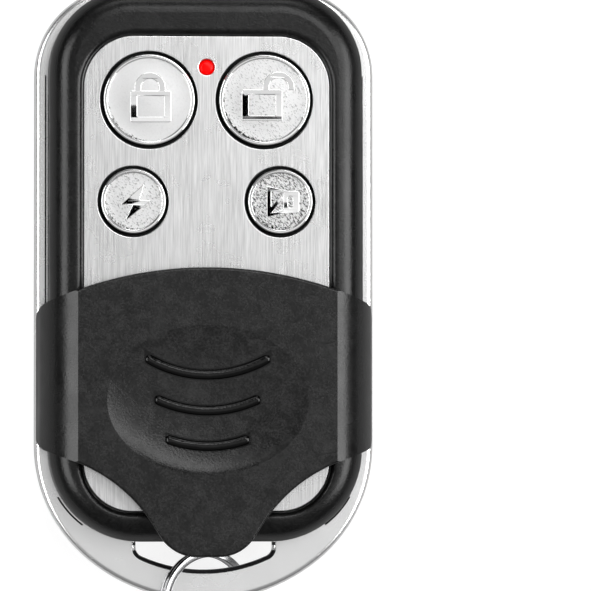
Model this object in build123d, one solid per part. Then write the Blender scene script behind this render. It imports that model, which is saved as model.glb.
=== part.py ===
"""Four-button wireless remote control with a sliding button cover and a key ring.

The remote lies on its back: +Z comes out of the button face, +Y runs from the
key ring to the top end and +X is to the right. Z is zero on the flat back.
All sizes are in millimetres.
"""
from build123d import *
from math import asin, atan2, cos, degrees, pi, radians, sin, sqrt
import os

# Case outline, seen from above
CASE_HALF_WIDTH = 17.0
CASE_TOP = 30.8
CASE_BOTTOM = -30.8
CASE_CORNER_RADIUS = 8.9
TAIL_START = -15.15
TAIL_SIDE_RADIUS = 14.9

# Back shell
DECK_HEIGHT = 6.0
BACK_THICKNESS = 1.2
BACK_EDGE_RADIUS = 2.2
DECK_EDGE_RADIUS = 0.6
SEAT_DEPTH = 0.5
SEAT_GAP = 0.02
BAR_WIDTH = 3.15
BAR_UNDERSIDE = 4.1
BAR_ROUND = 0.9
TAIL_RISE_START = -19.4
TAIL_RISE_END = -24.6
TAIL_RISE_RADIUS = 5.0
SLOT_HALF_WIDTH = 6.85
SLOT_TOP = -24.6
SLOT_CORNER_RADIUS = 1.0
SLOT_EDGE_RADIUS = 0.45
DECK_GROOVE_INSIDE = 15.82
DECK_GROOVE_WIDTH = 0.15
DECK_GROOVE_DEPTH = 0.5
DECK_GROOVE_ENDS = (-14.9, 21.9)
CORNER_GROOVE_RADIUS = 9.38
CORNER_GROOVE_WIDTH = 0.18
CORNER_GROOVE_ANGLES = (30.0, 53.0)

# Front frame
FRAME_HALF_WIDTH = 15.66
FRAME_TOP = 30.4
FRAME_BOTTOM = -24.8
FRAME_TOP_RADIUS = 8.43
FRAME_BOTTOM_RADIUS = 9.14
FRAME_DRAFT = 1.0
FRAME_CREST = 11.85
FRAME_OUTER_ROUND = 2.5
FRAME_INNER_ROUND = 0.65
FRAME_WALL = 1.1
WEB_THICKNESS = 0.95
GUIDE_FLOOR = 15.12
GUIDE_LOW = 6.3
GUIDE_HIGH = 7.3
GUIDE_STOP_GAP = 0.3

# Face plate
PLATE_HALF_WIDTH = 12.3
PLATE_TOP_END = 25.6
PLATE_LOW_END = -21.75
PLATE_TOP_RADIUS = 5.15
PLATE_LOW_RADIUS = 4.95
PLATE_FACE = 11.15
PLATE_THICKNESS = 0.4
PLATE_GAP = 0.04

# Buttons
LARGE_PLACE = (5.735, 19.15)
LARGE_HOLE_RADIUS = 4.825
LARGE_CAP_RADIUS = 4.5
LARGE_FLANGE_RADIUS = 5.3
SMALL_PLACE = (7.295, 9.07)
SMALL_HOLE_RADIUS = 3.5
SMALL_CAP_RADIUS = 3.19
SMALL_FLANGE_RADIUS = 3.9
CAP_TOP = 11.85
CAP_FLANGE_TOP = 9.7
CAP_FLANGE_BOTTOM = 9.1
CAP_SKIRT_WALL = 0.8
CAP_CROWN_THICKNESS = 0.95
CAP_RIM_WIDTH = 0.38
CAP_RIM_ROUND = 0.1
CAP_FIELD_DEPTH = 0.12
CAP_POST_RADIUS = 1.5

# Raised signs on the buttons, each about its button's centre
SIGN_STROKE = 0.62
SIGN_FINE_STROKE = 0.3
PADLOCK_SIZE = (4.03, 3.12)
PADLOCK_OPENING = (2.68, 2.08)
PADLOCK_ROUND = 0.2
PADLOCK_OPENING_ROUND = 0.1
LOCK_BODY_PLACE = (0.14, -0.68)
UNLOCK_BODY_PLACE = (-0.26, -0.52)
BOLT_POINTS = (
    (1.07, 1.71), (-1.26, -0.38), (-0.07, -0.38), (-0.86, -2.01), (1.72, 0.07), (0.58, 0.12))
HORN_POINTS = ((-1.2, 1.33), (-1.2, -1.37), (0.45, -0.95), (0.45, 0.98))
HORN_SLASH = ((-1.15, -1.15), (0.15, 0.45))
HORN_BOX_PLACE = (1.08, -0.04)
HORN_BOX_SIZE = (1.56, 2.19)
HORN_BOX_ROUND = 0.2
HORN_BOX_SLOT_PLACE = (0.97, -0.03)
HORN_BOX_SLOT = (1.14, 0.5)

# Push switches
SWITCH_SIZE = 6.0
SWITCH_BODY_HEIGHT = 3.5
SWITCH_TOTAL_HEIGHT = 4.3
SWITCH_COVER_THICKNESS = 0.25
SWITCH_WELL_RADIUS = 2.35
SWITCH_FLOOR = 0.7
SWITCH_TAB_INSET = 1.0
SWITCH_TAB_FOOT = 1.2
STEM_RADIUS = 1.75
STEM_COLLAR_RADIUS = 2.15
STEM_COLLAR_HEIGHT = 0.4
STEM_GAP = 0.05
PRESS_TRAVEL = 0.25
DOME_RADIUS = 2.2
DOME_RISE = 0.35
DOME_THICKNESS = 0.08
LEAD_WIDTH = 0.7
LEAD_THICKNESS = 0.3
LEAD_SPREAD = 2.25
LEAD_LENGTH = 3.2
LEAD_HOLE_RADIUS = 0.45

# Circuit board
BOARD_UNDERSIDE = 3.4
BOARD_THICKNESS = 1.0
BOARD_HALF_WIDTH = 13.9
BOARD_LOW_END = -1.6
BOARD_TOP_END = 28.4
BOARD_TOP_RADIUS = 6.6
BOARD_LOW_RADIUS = 0.8
BOARD_NOTCH_RADIUS = 2.8

# Light
LED_PLACE = (0.0, 22.43)
LIGHT_HOLE_RADIUS = 0.78
LIGHT_PIPE_RADIUS = 0.72
LIGHT_PIPE_TOP = 11.2
LIGHT_PIPE_FOOT = 0.8
LIGHT_TIP_ROUND = 0.3
LIGHT_COLLAR_RADIUS = 1.2
LIGHT_COLLAR_HEIGHT = 0.5
LIGHT_COLLAR_GAP = 0.05
LED_CHIP_SIZE = (1.6, 0.8, 0.5)
LED_LENS_RADIUS = 0.35
LED_LENS_HEIGHT = 0.2

# Other parts on the board
CHIP_STANDOFF = 0.1
CHIP_LEG_WIDTH = 0.4
CHIP_LEG_THICKNESS = 0.3
CHIP_LEG_REACH = 0.8
ENCODER_PLACE = (0.0, 9.4)
ENCODER_SIZE = (5.0, 3.9, 1.5)
ENCODER_LEGS = 4
ENCODER_LEG_PITCH = 1.27
TRANSISTOR_PLACE = (-3.4, 3.2)
TRANSISTOR_SIZE = (2.9, 1.3, 1.0)
TRANSISTOR_LEGS = 2
TRANSISTOR_LEG_PITCH = 1.9
RESONATOR_PLACE = (3.6, 3.2)
RESONATOR_RADIUS = 2.0
RESONATOR_HEIGHT = 2.6
RESONATOR_ROUND = 0.4
RESONATOR_RIM_RADIUS = 2.3
RESONATOR_RIM_HEIGHT = 0.4
TRIMMER_PLACE = (-9.4, 2.6)
TRIMMER_HALF_WIDTH = 1.6
TRIMMER_BASE_HEIGHT = 1.0
TRIMMER_ROTOR_RADIUS = 1.3
TRIMMER_ROTOR_HEIGHT = 0.5
TRIMMER_SLOT = (2.2, 0.4)
COIL_PLACE = (9.2, 2.4)
COIL_RADIUS = 1.0
COIL_LENGTH = 4.2
COIL_ROUND = 0.4
COIL_STANDOFF = 0.05
RESISTOR_SIZE = (1.6, 0.8, 0.45)
RESISTOR_COLUMN_START = 13.2
RESISTOR_COLUMN_STEP = 1.5
RESISTOR_COLUMN_COUNT = 4
RESISTOR_SINGLES = ((-0.2, 5.6), (0.0, 0.4))
CAPACITOR_SIZE = (1.6, 0.8, 0.8)
CAPACITOR_ROW_Y = 0.3
CAPACITOR_PLACES = (-12.0, -6.2, -3.4, 3.2, 6.2)

# Battery, 27A size, lying across the case
BATTERY_RADIUS = 3.85
BATTERY_LENGTH = 27.2
BATTERY_TIP_RADIUS = 1.9
BATTERY_TIP_LENGTH = 0.6
BATTERY_Y = -7.6
BATTERY_Z = 5.35
BATTERY_EDGE_ROUND = 0.4
BATTERY_GAP = 0.05
CRADLE_PLACES = (-8.5, 8.5)
CRADLE_THICKNESS = 1.2
CRADLE_TOP = 4.35
CONTACT_THICKNESS = 0.25
CONTACT_GAP = 0.03
CONTACT_BUMP = 0.3
CONTACT_BUMP_RADII = (1.5, 0.9)
CONTACT_BELOW = 3.2
CONTACT_ABOVE = 2.8
CONTACT_FOOT_GAP = 0.1
CONTACT_BOARD_GAP = 0.4
CONTACT_TAIL_REACH = 1.6
CONTACT_TAIL_START = 0.8
CONTACT_TAIL_END = 2.4

# Sliding cover
COVER_TOP = 13.8
COVER_UNDERSIDE = 12.3
COVER_CREASE = 12.82
COVER_SLOPE = 24.0
COVER_SLOPE_WIDTH = 0.5
COVER_HALF_WIDTH = 16.85
COVER_SHOULDER_HALF_WIDTH = 16.6
COVER_SKIRT_BOTTOM = 6.3
COVER_WALL = 0.75
COVER_INNER_ROUND = 3.2
COVER_ARC_PEAK = 2.49
COVER_ARC_RADIUS = 38.3
COVER_EDGE_ROUND = 0.25
SKIRT_LOW_CORNER = (16.85, -15.33)
HIP = (12.4, -16.99)
WAIST = (7.76, -19.26)
TONGUE_CORNER = (3.4, -26.15)
SKIRT_TOP_ROUND = 1.8
SKIRT_LOW_ROUND = 1.3
HIP_ROUND = 8.0
WAIST_ROUND = 15.5
TONGUE_ROUND = 4.2
DISH_SEMI_AXES = (12.3, 9.75, 1.6)
DISH_CENTRE_Y = -8.69
DISH_LIFT = 1.0
DISH_TILT = 3.5
GRIP_RIB_WIDTH = 1.0
GRIP_RIB_BEND = 11.7
GRIP_RIBS = ((-8.13, 5.78, 13.8), (-11.67, 4.82, 13.7), (-15.18, 3.74, 13.65))
GRIP_RIB_FOOT = 12.9
GRIP_RIB_ROUND = 0.42
HOOK_REACH = 15.45
HOOK_LOW = 6.5
HOOK_HIGH = 7.1
HOOK_ENDS = (-14.6, -3.4)
COVER_TRAVEL = 23.0

# Key ring, a split ring of two turns round the bar
RING_RADIUS = 5.3
RING_WIRE_RADIUS = 0.25
RING_TURNS = 2
RING_PITCH = 0.94
RING_CENTRE = (0.3, -31.15, 5.05)
RING_TILT = 31.0
RING_SAMPLES = 240

# Screws
CASE_SCREW_PLACES = ((0.0, 26.9), (0.0, -16.6))
CASE_SCREW_RADIUS = 0.95
CASE_SCREW_HEAD_RADIUS = 1.75
CASE_SCREW_HEAD_HEIGHT = 1.1
CASE_SCREW_START = 0.4
CASE_SCREW_TIP = 7.6
CASE_SCREW_HOLE_RADIUS = 1.15
CASE_SCREW_WELL_RADIUS = 2.0
CASE_SCREW_WELL_DEPTH = 1.6
CASE_PILLAR_RADIUS = 2.9
CASE_PILLAR_TOP = 2.8
CASE_BOSS_RADIUS = 2.1
BOARD_SCREW_PLACES = ((-11.9, 14.2), (11.9, 14.2))
BOARD_SCREW_RADIUS = 0.7
BOARD_SCREW_HEAD_RADIUS = 1.3
BOARD_SCREW_HEAD_HEIGHT = 0.75
BOARD_SCREW_TIP = 7.4
BOARD_SCREW_HOLE_RADIUS = 0.8
BOARD_POST_RADIUS = 1.5
PILLAR_GAP = 0.1
BLIND_END = 1.0
THREAD_GAP = 0.02
CROSS_SLOT_WIDTH = 0.4
CROSS_SLOT_DEPTH = 0.5
CROSS_SLOT_REACH = 1.5

# Worked-out levels
WEB_TOP = PLATE_FACE - PLATE_THICKNESS
WEB_BOTTOM = WEB_TOP - WEB_THICKNESS
FRAME_FOOT = DECK_HEIGHT - SEAT_DEPTH + SEAT_GAP
BOARD_TOP = BOARD_UNDERSIDE + BOARD_THICKNESS
SWITCH_TOP = BOARD_TOP + SWITCH_BODY_HEIGHT
STEM_TOP = BOARD_TOP + SWITCH_TOTAL_HEIGHT
GUIDE_ENDS = (HOOK_ENDS[0] - GUIDE_STOP_GAP, HOOK_ENDS[1] + COVER_TRAVEL + GUIDE_STOP_GAP)

# Lengths that only help the cuts and joins
THROUGH = 40.0
CUT_PAST = 1.0
JOIN_OVERLAP = 0.2
NEAR = 0.01

BUTTONS = {
    "lock": (-LARGE_PLACE[0], LARGE_PLACE[1]),
    "unlock": (LARGE_PLACE[0], LARGE_PLACE[1]),
    "bolt": (-SMALL_PLACE[0], SMALL_PLACE[1]),
    "speaker": (SMALL_PLACE[0], SMALL_PLACE[1]),
}
LARGE_BUTTONS = ("lock", "unlock")


def rounded_face(half_width, low_y, high_y, low_radius, high_radius):
    """Rectangle between two Y values, with one corner radius at each end."""
    corners = Polyline(
        (-half_width, low_y), (half_width, low_y), (half_width, high_y), (-half_width, high_y),
        close=True)
    face = Sketch() + make_face(corners)
    ordered = face.vertices().sort_by(Axis.Y)
    face = fillet(ordered[:2], low_radius)
    top_corners = [point for point in face.vertices() if abs(point.Y - high_y) < NEAR]
    return fillet(top_corners, high_radius)


def frame_face(inset):
    """Outline of the front frame, moved inwards by inset."""
    return rounded_face(
        FRAME_HALF_WIDTH - inset, FRAME_BOTTOM + inset, FRAME_TOP - inset,
        FRAME_BOTTOM_RADIUS - inset, FRAME_TOP_RADIUS - inset)


def plate_face(inset):
    """Outline of the face plate's recess, moved inwards by inset."""
    return rounded_face(
        PLATE_HALF_WIDTH - inset, PLATE_LOW_END + inset, PLATE_TOP_END - inset,
        PLATE_LOW_RADIUS - inset, PLATE_TOP_RADIUS - inset)


def tail_arc():
    """Centre height and radius of the arc round the tail, and its join angle.

    The tail is a three-centred arch: two side arcs of a chosen radius that
    start square to the straight sides, and an end arc tangent to both.
    """
    across = CASE_HALF_WIDTH - TAIL_SIDE_RADIUS
    depth = TAIL_START - CASE_BOTTOM
    short = depth - TAIL_SIDE_RADIUS
    lift = (across ** 2 - short ** 2) / (2 * short)
    return TAIL_START + lift, depth + lift, degrees(atan2(lift, across))


def case_face():
    """Outline of the whole case."""
    centre_y, end_radius, join = tail_arc()
    side_x = CASE_HALF_WIDTH - TAIL_SIDE_RADIUS
    corner_x = CASE_HALF_WIDTH - CASE_CORNER_RADIUS
    corner_y = CASE_TOP - CASE_CORNER_RADIUS
    lines = [
        Line((CASE_HALF_WIDTH, TAIL_START), (CASE_HALF_WIDTH, corner_y)),
        CenterArc((corner_x, corner_y), CASE_CORNER_RADIUS, 0, 90),
        Line((corner_x, CASE_TOP), (-corner_x, CASE_TOP)),
        CenterArc((-corner_x, corner_y), CASE_CORNER_RADIUS, 90, 90),
        Line((-CASE_HALF_WIDTH, corner_y), (-CASE_HALF_WIDTH, TAIL_START)),
        CenterArc((-side_x, TAIL_START), TAIL_SIDE_RADIUS, 180, join),
        CenterArc((0, centre_y), end_radius, 180 + join, 180 - 2 * join),
        CenterArc((side_x, TAIL_START), TAIL_SIDE_RADIUS, 360 - join, join),
    ]
    return make_face(Curve() + lines)


def box_between(low, high):
    """Box from its lowest corner to its highest corner."""
    size = [high[i] - low[i] for i in range(3)]
    centre = [(high[i] + low[i]) / 2 for i in range(3)]
    return Pos(*centre) * Box(*size)


def rod(place, radius, low, high):
    """Upright cylinder at an X, Y place, from one height to another."""
    return Pos(place[0], place[1], (low + high) / 2) * Cylinder(radius, high - low)


def slot_face():
    """Key-ring slot: straight top and sides, and a lower edge that follows the tail."""
    centre_y, end_radius, _ = tail_arc()
    reach = end_radius - BAR_WIDTH
    height = centre_y - SLOT_TOP
    block = Pos(0, SLOT_TOP - reach / 2) * Rectangle(2 * SLOT_HALF_WIDTH, reach)
    face = block & (Pos(0, centre_y) * Circle(reach))
    low_corners = [point for point in face.vertices() if point.Y < centre_y - height - NEAR]
    return fillet(low_corners, SLOT_CORNER_RADIUS)


def tail_relief():
    """Space under the tail, so that the ring's bar stands clear of the table."""
    end = CASE_BOTTOM - CUT_PAST
    profile = Polyline(
        (TAIL_RISE_START, 0), (TAIL_RISE_END, BAR_UNDERSIDE), (end, BAR_UNDERSIDE),
        (end, -CUT_PAST), (TAIL_RISE_START, -CUT_PAST), close=True)
    face = Sketch() + make_face(profile)
    knee = [point for point in face.vertices()
            if abs(point.X - TAIL_RISE_END) < NEAR and abs(point.Y - BAR_UNDERSIDE) < NEAR]
    face = fillet(knee, TAIL_RISE_RADIUS)
    upright = Plane(origin=(0, 0, 0), x_dir=(0, 1, 0), z_dir=(1, 0, 0))
    return extrude(upright * face, CASE_HALF_WIDTH + CUT_PAST, both=True)


def deck_grooves():
    """Fine grooves in the deck: one along each side and one at each tail corner."""
    low_y, high_y = DECK_GROOVE_ENDS
    floor = DECK_HEIGHT - DECK_GROOVE_DEPTH
    roof = DECK_HEIGHT + CUT_PAST
    outside = DECK_GROOVE_INSIDE + DECK_GROOVE_WIDTH
    right = box_between((DECK_GROOVE_INSIDE, low_y, floor), (outside, high_y, roof))
    centre_x = FRAME_HALF_WIDTH - FRAME_BOTTOM_RADIUS
    centre_y = FRAME_BOTTOM + FRAME_BOTTOM_RADIUS
    start, stop = CORNER_GROOVE_ANGLES
    bend = CenterArc((centre_x, centre_y), CORNER_GROOVE_RADIUS, -stop, stop - start)
    stroke = trace(bend, CORNER_GROOVE_WIDTH)
    curved = Pos(0, 0, floor) * extrude(stroke, DECK_GROOVE_DEPTH + CUT_PAST)
    both = right + curved
    return both + mirror(both, Plane.YZ)


def battery_cradle():
    """Two ribs that hold the battery, hollowed to its radius."""
    ribs = []
    for x in CRADLE_PLACES:
        rib = box_between(
            (x - CRADLE_THICKNESS / 2, BATTERY_Y - BATTERY_RADIUS, BACK_THICKNESS - JOIN_OVERLAP),
            (x + CRADLE_THICKNESS / 2, BATTERY_Y + BATTERY_RADIUS, CRADLE_TOP))
        ribs.append(rib)
    lie = Pos(0, BATTERY_Y, BATTERY_Z) * Rot(0, 90, 0)
    cell = lie * Cylinder(BATTERY_RADIUS + BATTERY_GAP, THROUGH)
    return Part() + ribs - cell


def slot_rim(shell, level):
    """Edges of the slot's lower side that lie at one level."""
    low_y = CASE_BOTTOM + BAR_WIDTH / 2
    high_y = SLOT_TOP - SLOT_CORNER_RADIUS / 2
    return [edge for edge in shell.edges()
            if abs(edge.bounding_box().min.Z - level) < NEAR
            and abs(edge.bounding_box().max.Z - level) < NEAR
            and low_y < edge.center().Y < high_y
            and abs(edge.center().X) < SLOT_HALF_WIDTH + NEAR]


def back_shell():
    """Plated back shell: floor, walls, deck, screw pillars, cradle, slot and bar."""
    shell = extrude(case_face(), DECK_HEIGHT)
    shell = fillet(shell.faces().sort_by(Axis.Z)[0].edges(), BACK_EDGE_RADIUS)
    shell = fillet(shell.faces().sort_by(Axis.Z)[-1].edges(), DECK_EDGE_RADIUS)
    shell -= tail_relief()
    cavity = Pos(0, 0, BACK_THICKNESS) * extrude(frame_face(FRAME_WALL), DECK_HEIGHT)
    cavity -= Pos(0, BACK_THICKNESS / 2, BACK_THICKNESS) * tail_relief()
    shell -= cavity
    seat = extrude(frame_face(-SEAT_GAP), DECK_HEIGHT)
    shell -= Pos(0, 0, DECK_HEIGHT - SEAT_DEPTH) * seat
    slot = extrude(slot_face(), THROUGH, both=True)
    shell -= slot
    shell = fillet(slot_rim(shell, DECK_HEIGHT), SLOT_EDGE_RADIUS)
    shell = fillet(slot_rim(shell, BAR_UNDERSIDE), BAR_ROUND)
    shell -= deck_grooves()
    shell += battery_cradle()
    for place in CASE_SCREW_PLACES:
        shell += rod(place, CASE_PILLAR_RADIUS, BACK_THICKNESS - JOIN_OVERLAP, CASE_PILLAR_TOP)
        shell -= rod(place, CASE_SCREW_HOLE_RADIUS, -CUT_PAST, CASE_PILLAR_TOP + CUT_PAST)
        shell -= rod(place, CASE_SCREW_WELL_RADIUS, -CUT_PAST, CASE_SCREW_WELL_DEPTH)
    return shell


def frame_guides():
    """Grooves in both side walls of the frame, which the cover's hooks run in."""
    low_y, high_y = GUIDE_ENDS
    right = box_between(
        (GUIDE_FLOOR, low_y, GUIDE_LOW), (CASE_HALF_WIDTH, high_y, GUIDE_HIGH))
    return right + mirror(right, Plane.YZ)


def front_frame():
    """Black front moulding: rounded rim, recess for the plate, web and bosses."""
    foot = Pos(0, 0, FRAME_FOOT) * frame_face(0)
    frame = extrude(foot, FRAME_CREST - FRAME_FOOT, taper=FRAME_DRAFT)
    frame = fillet(frame.faces().sort_by(Axis.Z)[-1].edges(), FRAME_OUTER_ROUND)
    recess = Pos(0, 0, WEB_TOP) * extrude(plate_face(0), THROUGH)
    frame -= recess
    inner_rim = frame.faces().sort_by(Axis.Z)[-1].inner_wires()[0].edges()
    frame = fillet(inner_rim, FRAME_INNER_ROUND)
    hollow = extrude(frame_face(FRAME_WALL), WEB_BOTTOM)
    frame -= hollow
    for name, place in BUTTONS.items():
        radius = LARGE_HOLE_RADIUS if name in LARGE_BUTTONS else SMALL_HOLE_RADIUS
        frame -= rod(place, radius, 0, THROUGH)
    frame -= rod(LED_PLACE, LIGHT_HOLE_RADIUS, 0, THROUGH)
    frame -= frame_guides()
    for place in CASE_SCREW_PLACES:
        boss = rod(place, CASE_BOSS_RADIUS, CASE_PILLAR_TOP + PILLAR_GAP, WEB_BOTTOM + JOIN_OVERLAP)
        frame += boss - rod(place, CASE_SCREW_RADIUS + THREAD_GAP, 0, WEB_BOTTOM - BLIND_END)
    for place in BOARD_SCREW_PLACES:
        post = rod(place, BOARD_POST_RADIUS, BOARD_TOP, WEB_BOTTOM + JOIN_OVERLAP)
        frame += post - rod(place, BOARD_SCREW_RADIUS + THREAD_GAP, 0, WEB_BOTTOM - BLIND_END)
    return frame


def face_plate():
    """Brushed metal plate that lies in the frame's recess."""
    plate = Pos(0, 0, WEB_TOP) * extrude(plate_face(PLATE_GAP), PLATE_THICKNESS)
    for name, place in BUTTONS.items():
        radius = LARGE_HOLE_RADIUS if name in LARGE_BUTTONS else SMALL_HOLE_RADIUS
        plate -= rod(place, radius, 0, THROUGH)
    plate -= rod(LED_PLACE, LIGHT_HOLE_RADIUS, 0, THROUGH)
    return plate


def shackle(centre_x, half_width, foot_left, foot_right, top):
    """Padlock shackle: a half-round bow with two straight legs."""
    bend_y = top - half_width
    path = Curve() + [
        Line((centre_x - half_width, foot_left), (centre_x - half_width, bend_y)),
        CenterArc((centre_x, bend_y), half_width, 180, -180),
        Line((centre_x + half_width, bend_y), (centre_x + half_width, foot_right)),
    ]
    return trace(path, SIGN_STROKE)


def padlock_body(place):
    """Padlock body: an upright outline, wider at the sides than above."""
    outer = Pos(*place) * RectangleRounded(*PADLOCK_SIZE, PADLOCK_ROUND)
    inner = Pos(*place) * RectangleRounded(*PADLOCK_OPENING, PADLOCK_OPENING_ROUND)
    return outer - inner


def sign_lock():
    """Closed padlock."""
    bow = shackle(centre_x=0.08, half_width=1.22, foot_left=0.7, foot_right=0.7, top=2.38)
    return padlock_body(LOCK_BODY_PLACE) + bow


def sign_unlock():
    """Open padlock, with its shackle swung over to the right."""
    bow = shackle(centre_x=1.38, half_width=1.27, foot_left=0.85, foot_right=1.0, top=2.5)
    return padlock_body(UNLOCK_BODY_PLACE) + bow


def sign_bolt():
    """Lightning bolt."""
    return Sketch() + make_face(Polyline(*BOLT_POINTS, close=True))


def sign_speaker():
    """Speaker horn with its box, crossed by a slanting stroke."""
    horn = trace(Polyline(*HORN_POINTS, close=True), SIGN_FINE_STROKE)
    slash = trace(Line(*HORN_SLASH), SIGN_FINE_STROKE)
    box = Pos(*HORN_BOX_PLACE) * RectangleRounded(*HORN_BOX_SIZE, HORN_BOX_ROUND)
    opening = Pos(*HORN_BOX_SLOT_PLACE) * SlotOverall(*HORN_BOX_SLOT, rotation=90)
    return horn + slash + (box - opening)


SIGNS = {"lock": sign_lock, "unlock": sign_unlock, "bolt": sign_bolt, "speaker": sign_speaker}


def button_cap(name):
    """Chrome button: skirt, flange, central post, polished rim and raised sign."""
    large = name in LARGE_BUTTONS
    radius = LARGE_CAP_RADIUS if large else SMALL_CAP_RADIUS
    flange_radius = LARGE_FLANGE_RADIUS if large else SMALL_FLANGE_RADIUS
    centre = (0, 0)
    cap = rod(centre, radius, CAP_FLANGE_BOTTOM, CAP_TOP)
    cap -= rod(centre, radius - CAP_RIM_WIDTH, CAP_TOP - CAP_FIELD_DEPTH, CAP_TOP + CUT_PAST)
    top_rim = cap.faces().sort_by(Axis.Z)[-1].edges()
    cap = fillet(top_rim, CAP_RIM_ROUND)
    cap += rod(centre, flange_radius, CAP_FLANGE_BOTTOM, CAP_FLANGE_TOP)
    cap -= rod(centre, radius - CAP_SKIRT_WALL, 0, CAP_TOP - CAP_CROWN_THICKNESS)
    crown_underside = CAP_TOP - CAP_CROWN_THICKNESS
    cap += rod(centre, CAP_POST_RADIUS, STEM_TOP, crown_underside + JOIN_OVERLAP)
    sign = Pos(0, 0, CAP_TOP - CAP_FIELD_DEPTH) * extrude(SIGNS[name](), CAP_FIELD_DEPTH)
    cap += sign
    return Pos(*BUTTONS[name], 0) * cap


def switch_base(place):
    """Switch moulding with a round well for the dome and the stem."""
    half = SWITCH_SIZE / 2 - SWITCH_COVER_THICKNESS
    roof = SWITCH_TOP - SWITCH_COVER_THICKNESS
    low = (place[0] - half, place[1] - half, BOARD_TOP)
    high = (place[0] + half, place[1] + half, roof)
    well = rod(place, SWITCH_WELL_RADIUS, BOARD_TOP + SWITCH_FLOOR, roof + CUT_PAST)
    return box_between(low, high) - well


def switch_cover(place):
    """Steel cover over the switch, with side tabs and a hole for the stem."""
    half = SWITCH_SIZE / 2
    tab_half = half - SWITCH_TAB_INSET
    roof = SWITCH_TOP - SWITCH_COVER_THICKNESS
    low_x, high_x = place[0] - half, place[0] + half
    top = box_between(
        (low_x, place[1] - half, roof), (high_x, place[1] + half, SWITCH_TOP))
    cover = top
    for side in (low_x, high_x - SWITCH_COVER_THICKNESS):
        tab = box_between(
            (side, place[1] - tab_half, BOARD_TOP + SWITCH_TAB_FOOT),
            (side + SWITCH_COVER_THICKNESS, place[1] + tab_half, roof))
        cover += tab
    return cover - rod(place, STEM_RADIUS + STEM_GAP, 0, THROUGH)


def switch_stem(place):
    """Plunger of the switch, with a collar that stops it under the cover."""
    roof = SWITCH_TOP - SWITCH_COVER_THICKNESS
    collar_top = roof - STEM_GAP
    foot = BOARD_TOP + SWITCH_FLOOR + DOME_RISE + PRESS_TRAVEL + STEM_GAP
    stem = rod(place, STEM_RADIUS, foot, STEM_TOP)
    return stem + rod(place, STEM_COLLAR_RADIUS, collar_top - STEM_COLLAR_HEIGHT, collar_top)


def switch_dome(place):
    """Thin snap dome on the floor of the switch's well."""
    bend = (DOME_RADIUS ** 2 + DOME_RISE ** 2) / (2 * DOME_RISE)
    floor = BOARD_TOP + SWITCH_FLOOR
    centre_z = floor + DOME_RISE - bend
    ball = Pos(place[0], place[1], centre_z) * Sphere(bend)
    hollow = Pos(place[0], place[1], centre_z) * Sphere(bend - DOME_THICKNESS)
    above = rod(place, DOME_RADIUS + CUT_PAST, floor, floor + DOME_RISE + CUT_PAST)
    return (ball - hollow) & above


def lead_places():
    """X, Y places of the four legs of every switch."""
    reach = SWITCH_SIZE / 2 + LEAD_THICKNESS / 2
    places = []
    for x, y in BUTTONS.values():
        for side in (-reach, reach):
            for end in (-LEAD_SPREAD, LEAD_SPREAD):
                places.append((x + side, y + end))
    return places


def switch_leads():
    """Four tinned legs of each switch, bent down through the board."""
    leg = Box(LEAD_THICKNESS, LEAD_WIDTH, LEAD_LENGTH)
    return Part() + [Pos(x, y, BOARD_TOP) * leg for x, y in lead_places()]


def circuit_board():
    """Board with holes for the legs and screws, and a notch round the top boss."""
    outline = rounded_face(
        BOARD_HALF_WIDTH, BOARD_LOW_END, BOARD_TOP_END, BOARD_LOW_RADIUS, BOARD_TOP_RADIUS)
    board = Pos(0, 0, BOARD_UNDERSIDE) * extrude(outline, BOARD_THICKNESS)
    notch_place = CASE_SCREW_PLACES[0]
    board -= rod(notch_place, BOARD_NOTCH_RADIUS, 0, THROUGH)
    board -= box_between(
        (-BOARD_NOTCH_RADIUS, notch_place[1], 0), (BOARD_NOTCH_RADIUS, THROUGH, THROUGH))
    for place in BOARD_SCREW_PLACES:
        board -= rod(place, BOARD_SCREW_HOLE_RADIUS, 0, THROUGH)
    for place in lead_places():
        board -= rod(place, LEAD_HOLE_RADIUS, 0, THROUGH)
    return board


def led_chip():
    """Small light source on the board, under the light pipe."""
    top = BOARD_TOP + LED_CHIP_SIZE[2]
    base = Pos(*LED_PLACE, (BOARD_TOP + top) / 2) * Box(*LED_CHIP_SIZE)
    return base + rod(LED_PLACE, LED_LENS_RADIUS, top, top + LED_LENS_HEIGHT)


def led_light_pipe():
    """Red light pipe from the light source to its domed end in the face plate."""
    foot = BOARD_TOP + LIGHT_PIPE_FOOT
    pipe = rod(LED_PLACE, LIGHT_PIPE_RADIUS, foot, LIGHT_PIPE_TOP)
    tip = pipe.faces().sort_by(Axis.Z)[-1].edges()
    pipe = fillet(tip, LIGHT_TIP_ROUND)
    collar_top = WEB_BOTTOM - LIGHT_COLLAR_GAP
    return pipe + rod(LED_PLACE, LIGHT_COLLAR_RADIUS, collar_top - LIGHT_COLLAR_HEIGHT, collar_top)


def battery():
    """Round cell lying across the case, with its raised pole on the right."""
    lie = Pos(0, BATTERY_Y, BATTERY_Z) * Rot(0, 90, 0)
    can = Cylinder(BATTERY_RADIUS, BATTERY_LENGTH)
    can = fillet(can.edges().filter_by(GeomType.CIRCLE), BATTERY_EDGE_ROUND)
    tip_low = BATTERY_LENGTH / 2 - JOIN_OVERLAP
    tip_high = BATTERY_LENGTH / 2 + BATTERY_TIP_LENGTH
    return lie * (can + rod((0, 0), BATTERY_TIP_RADIUS, tip_low, tip_high))


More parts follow.
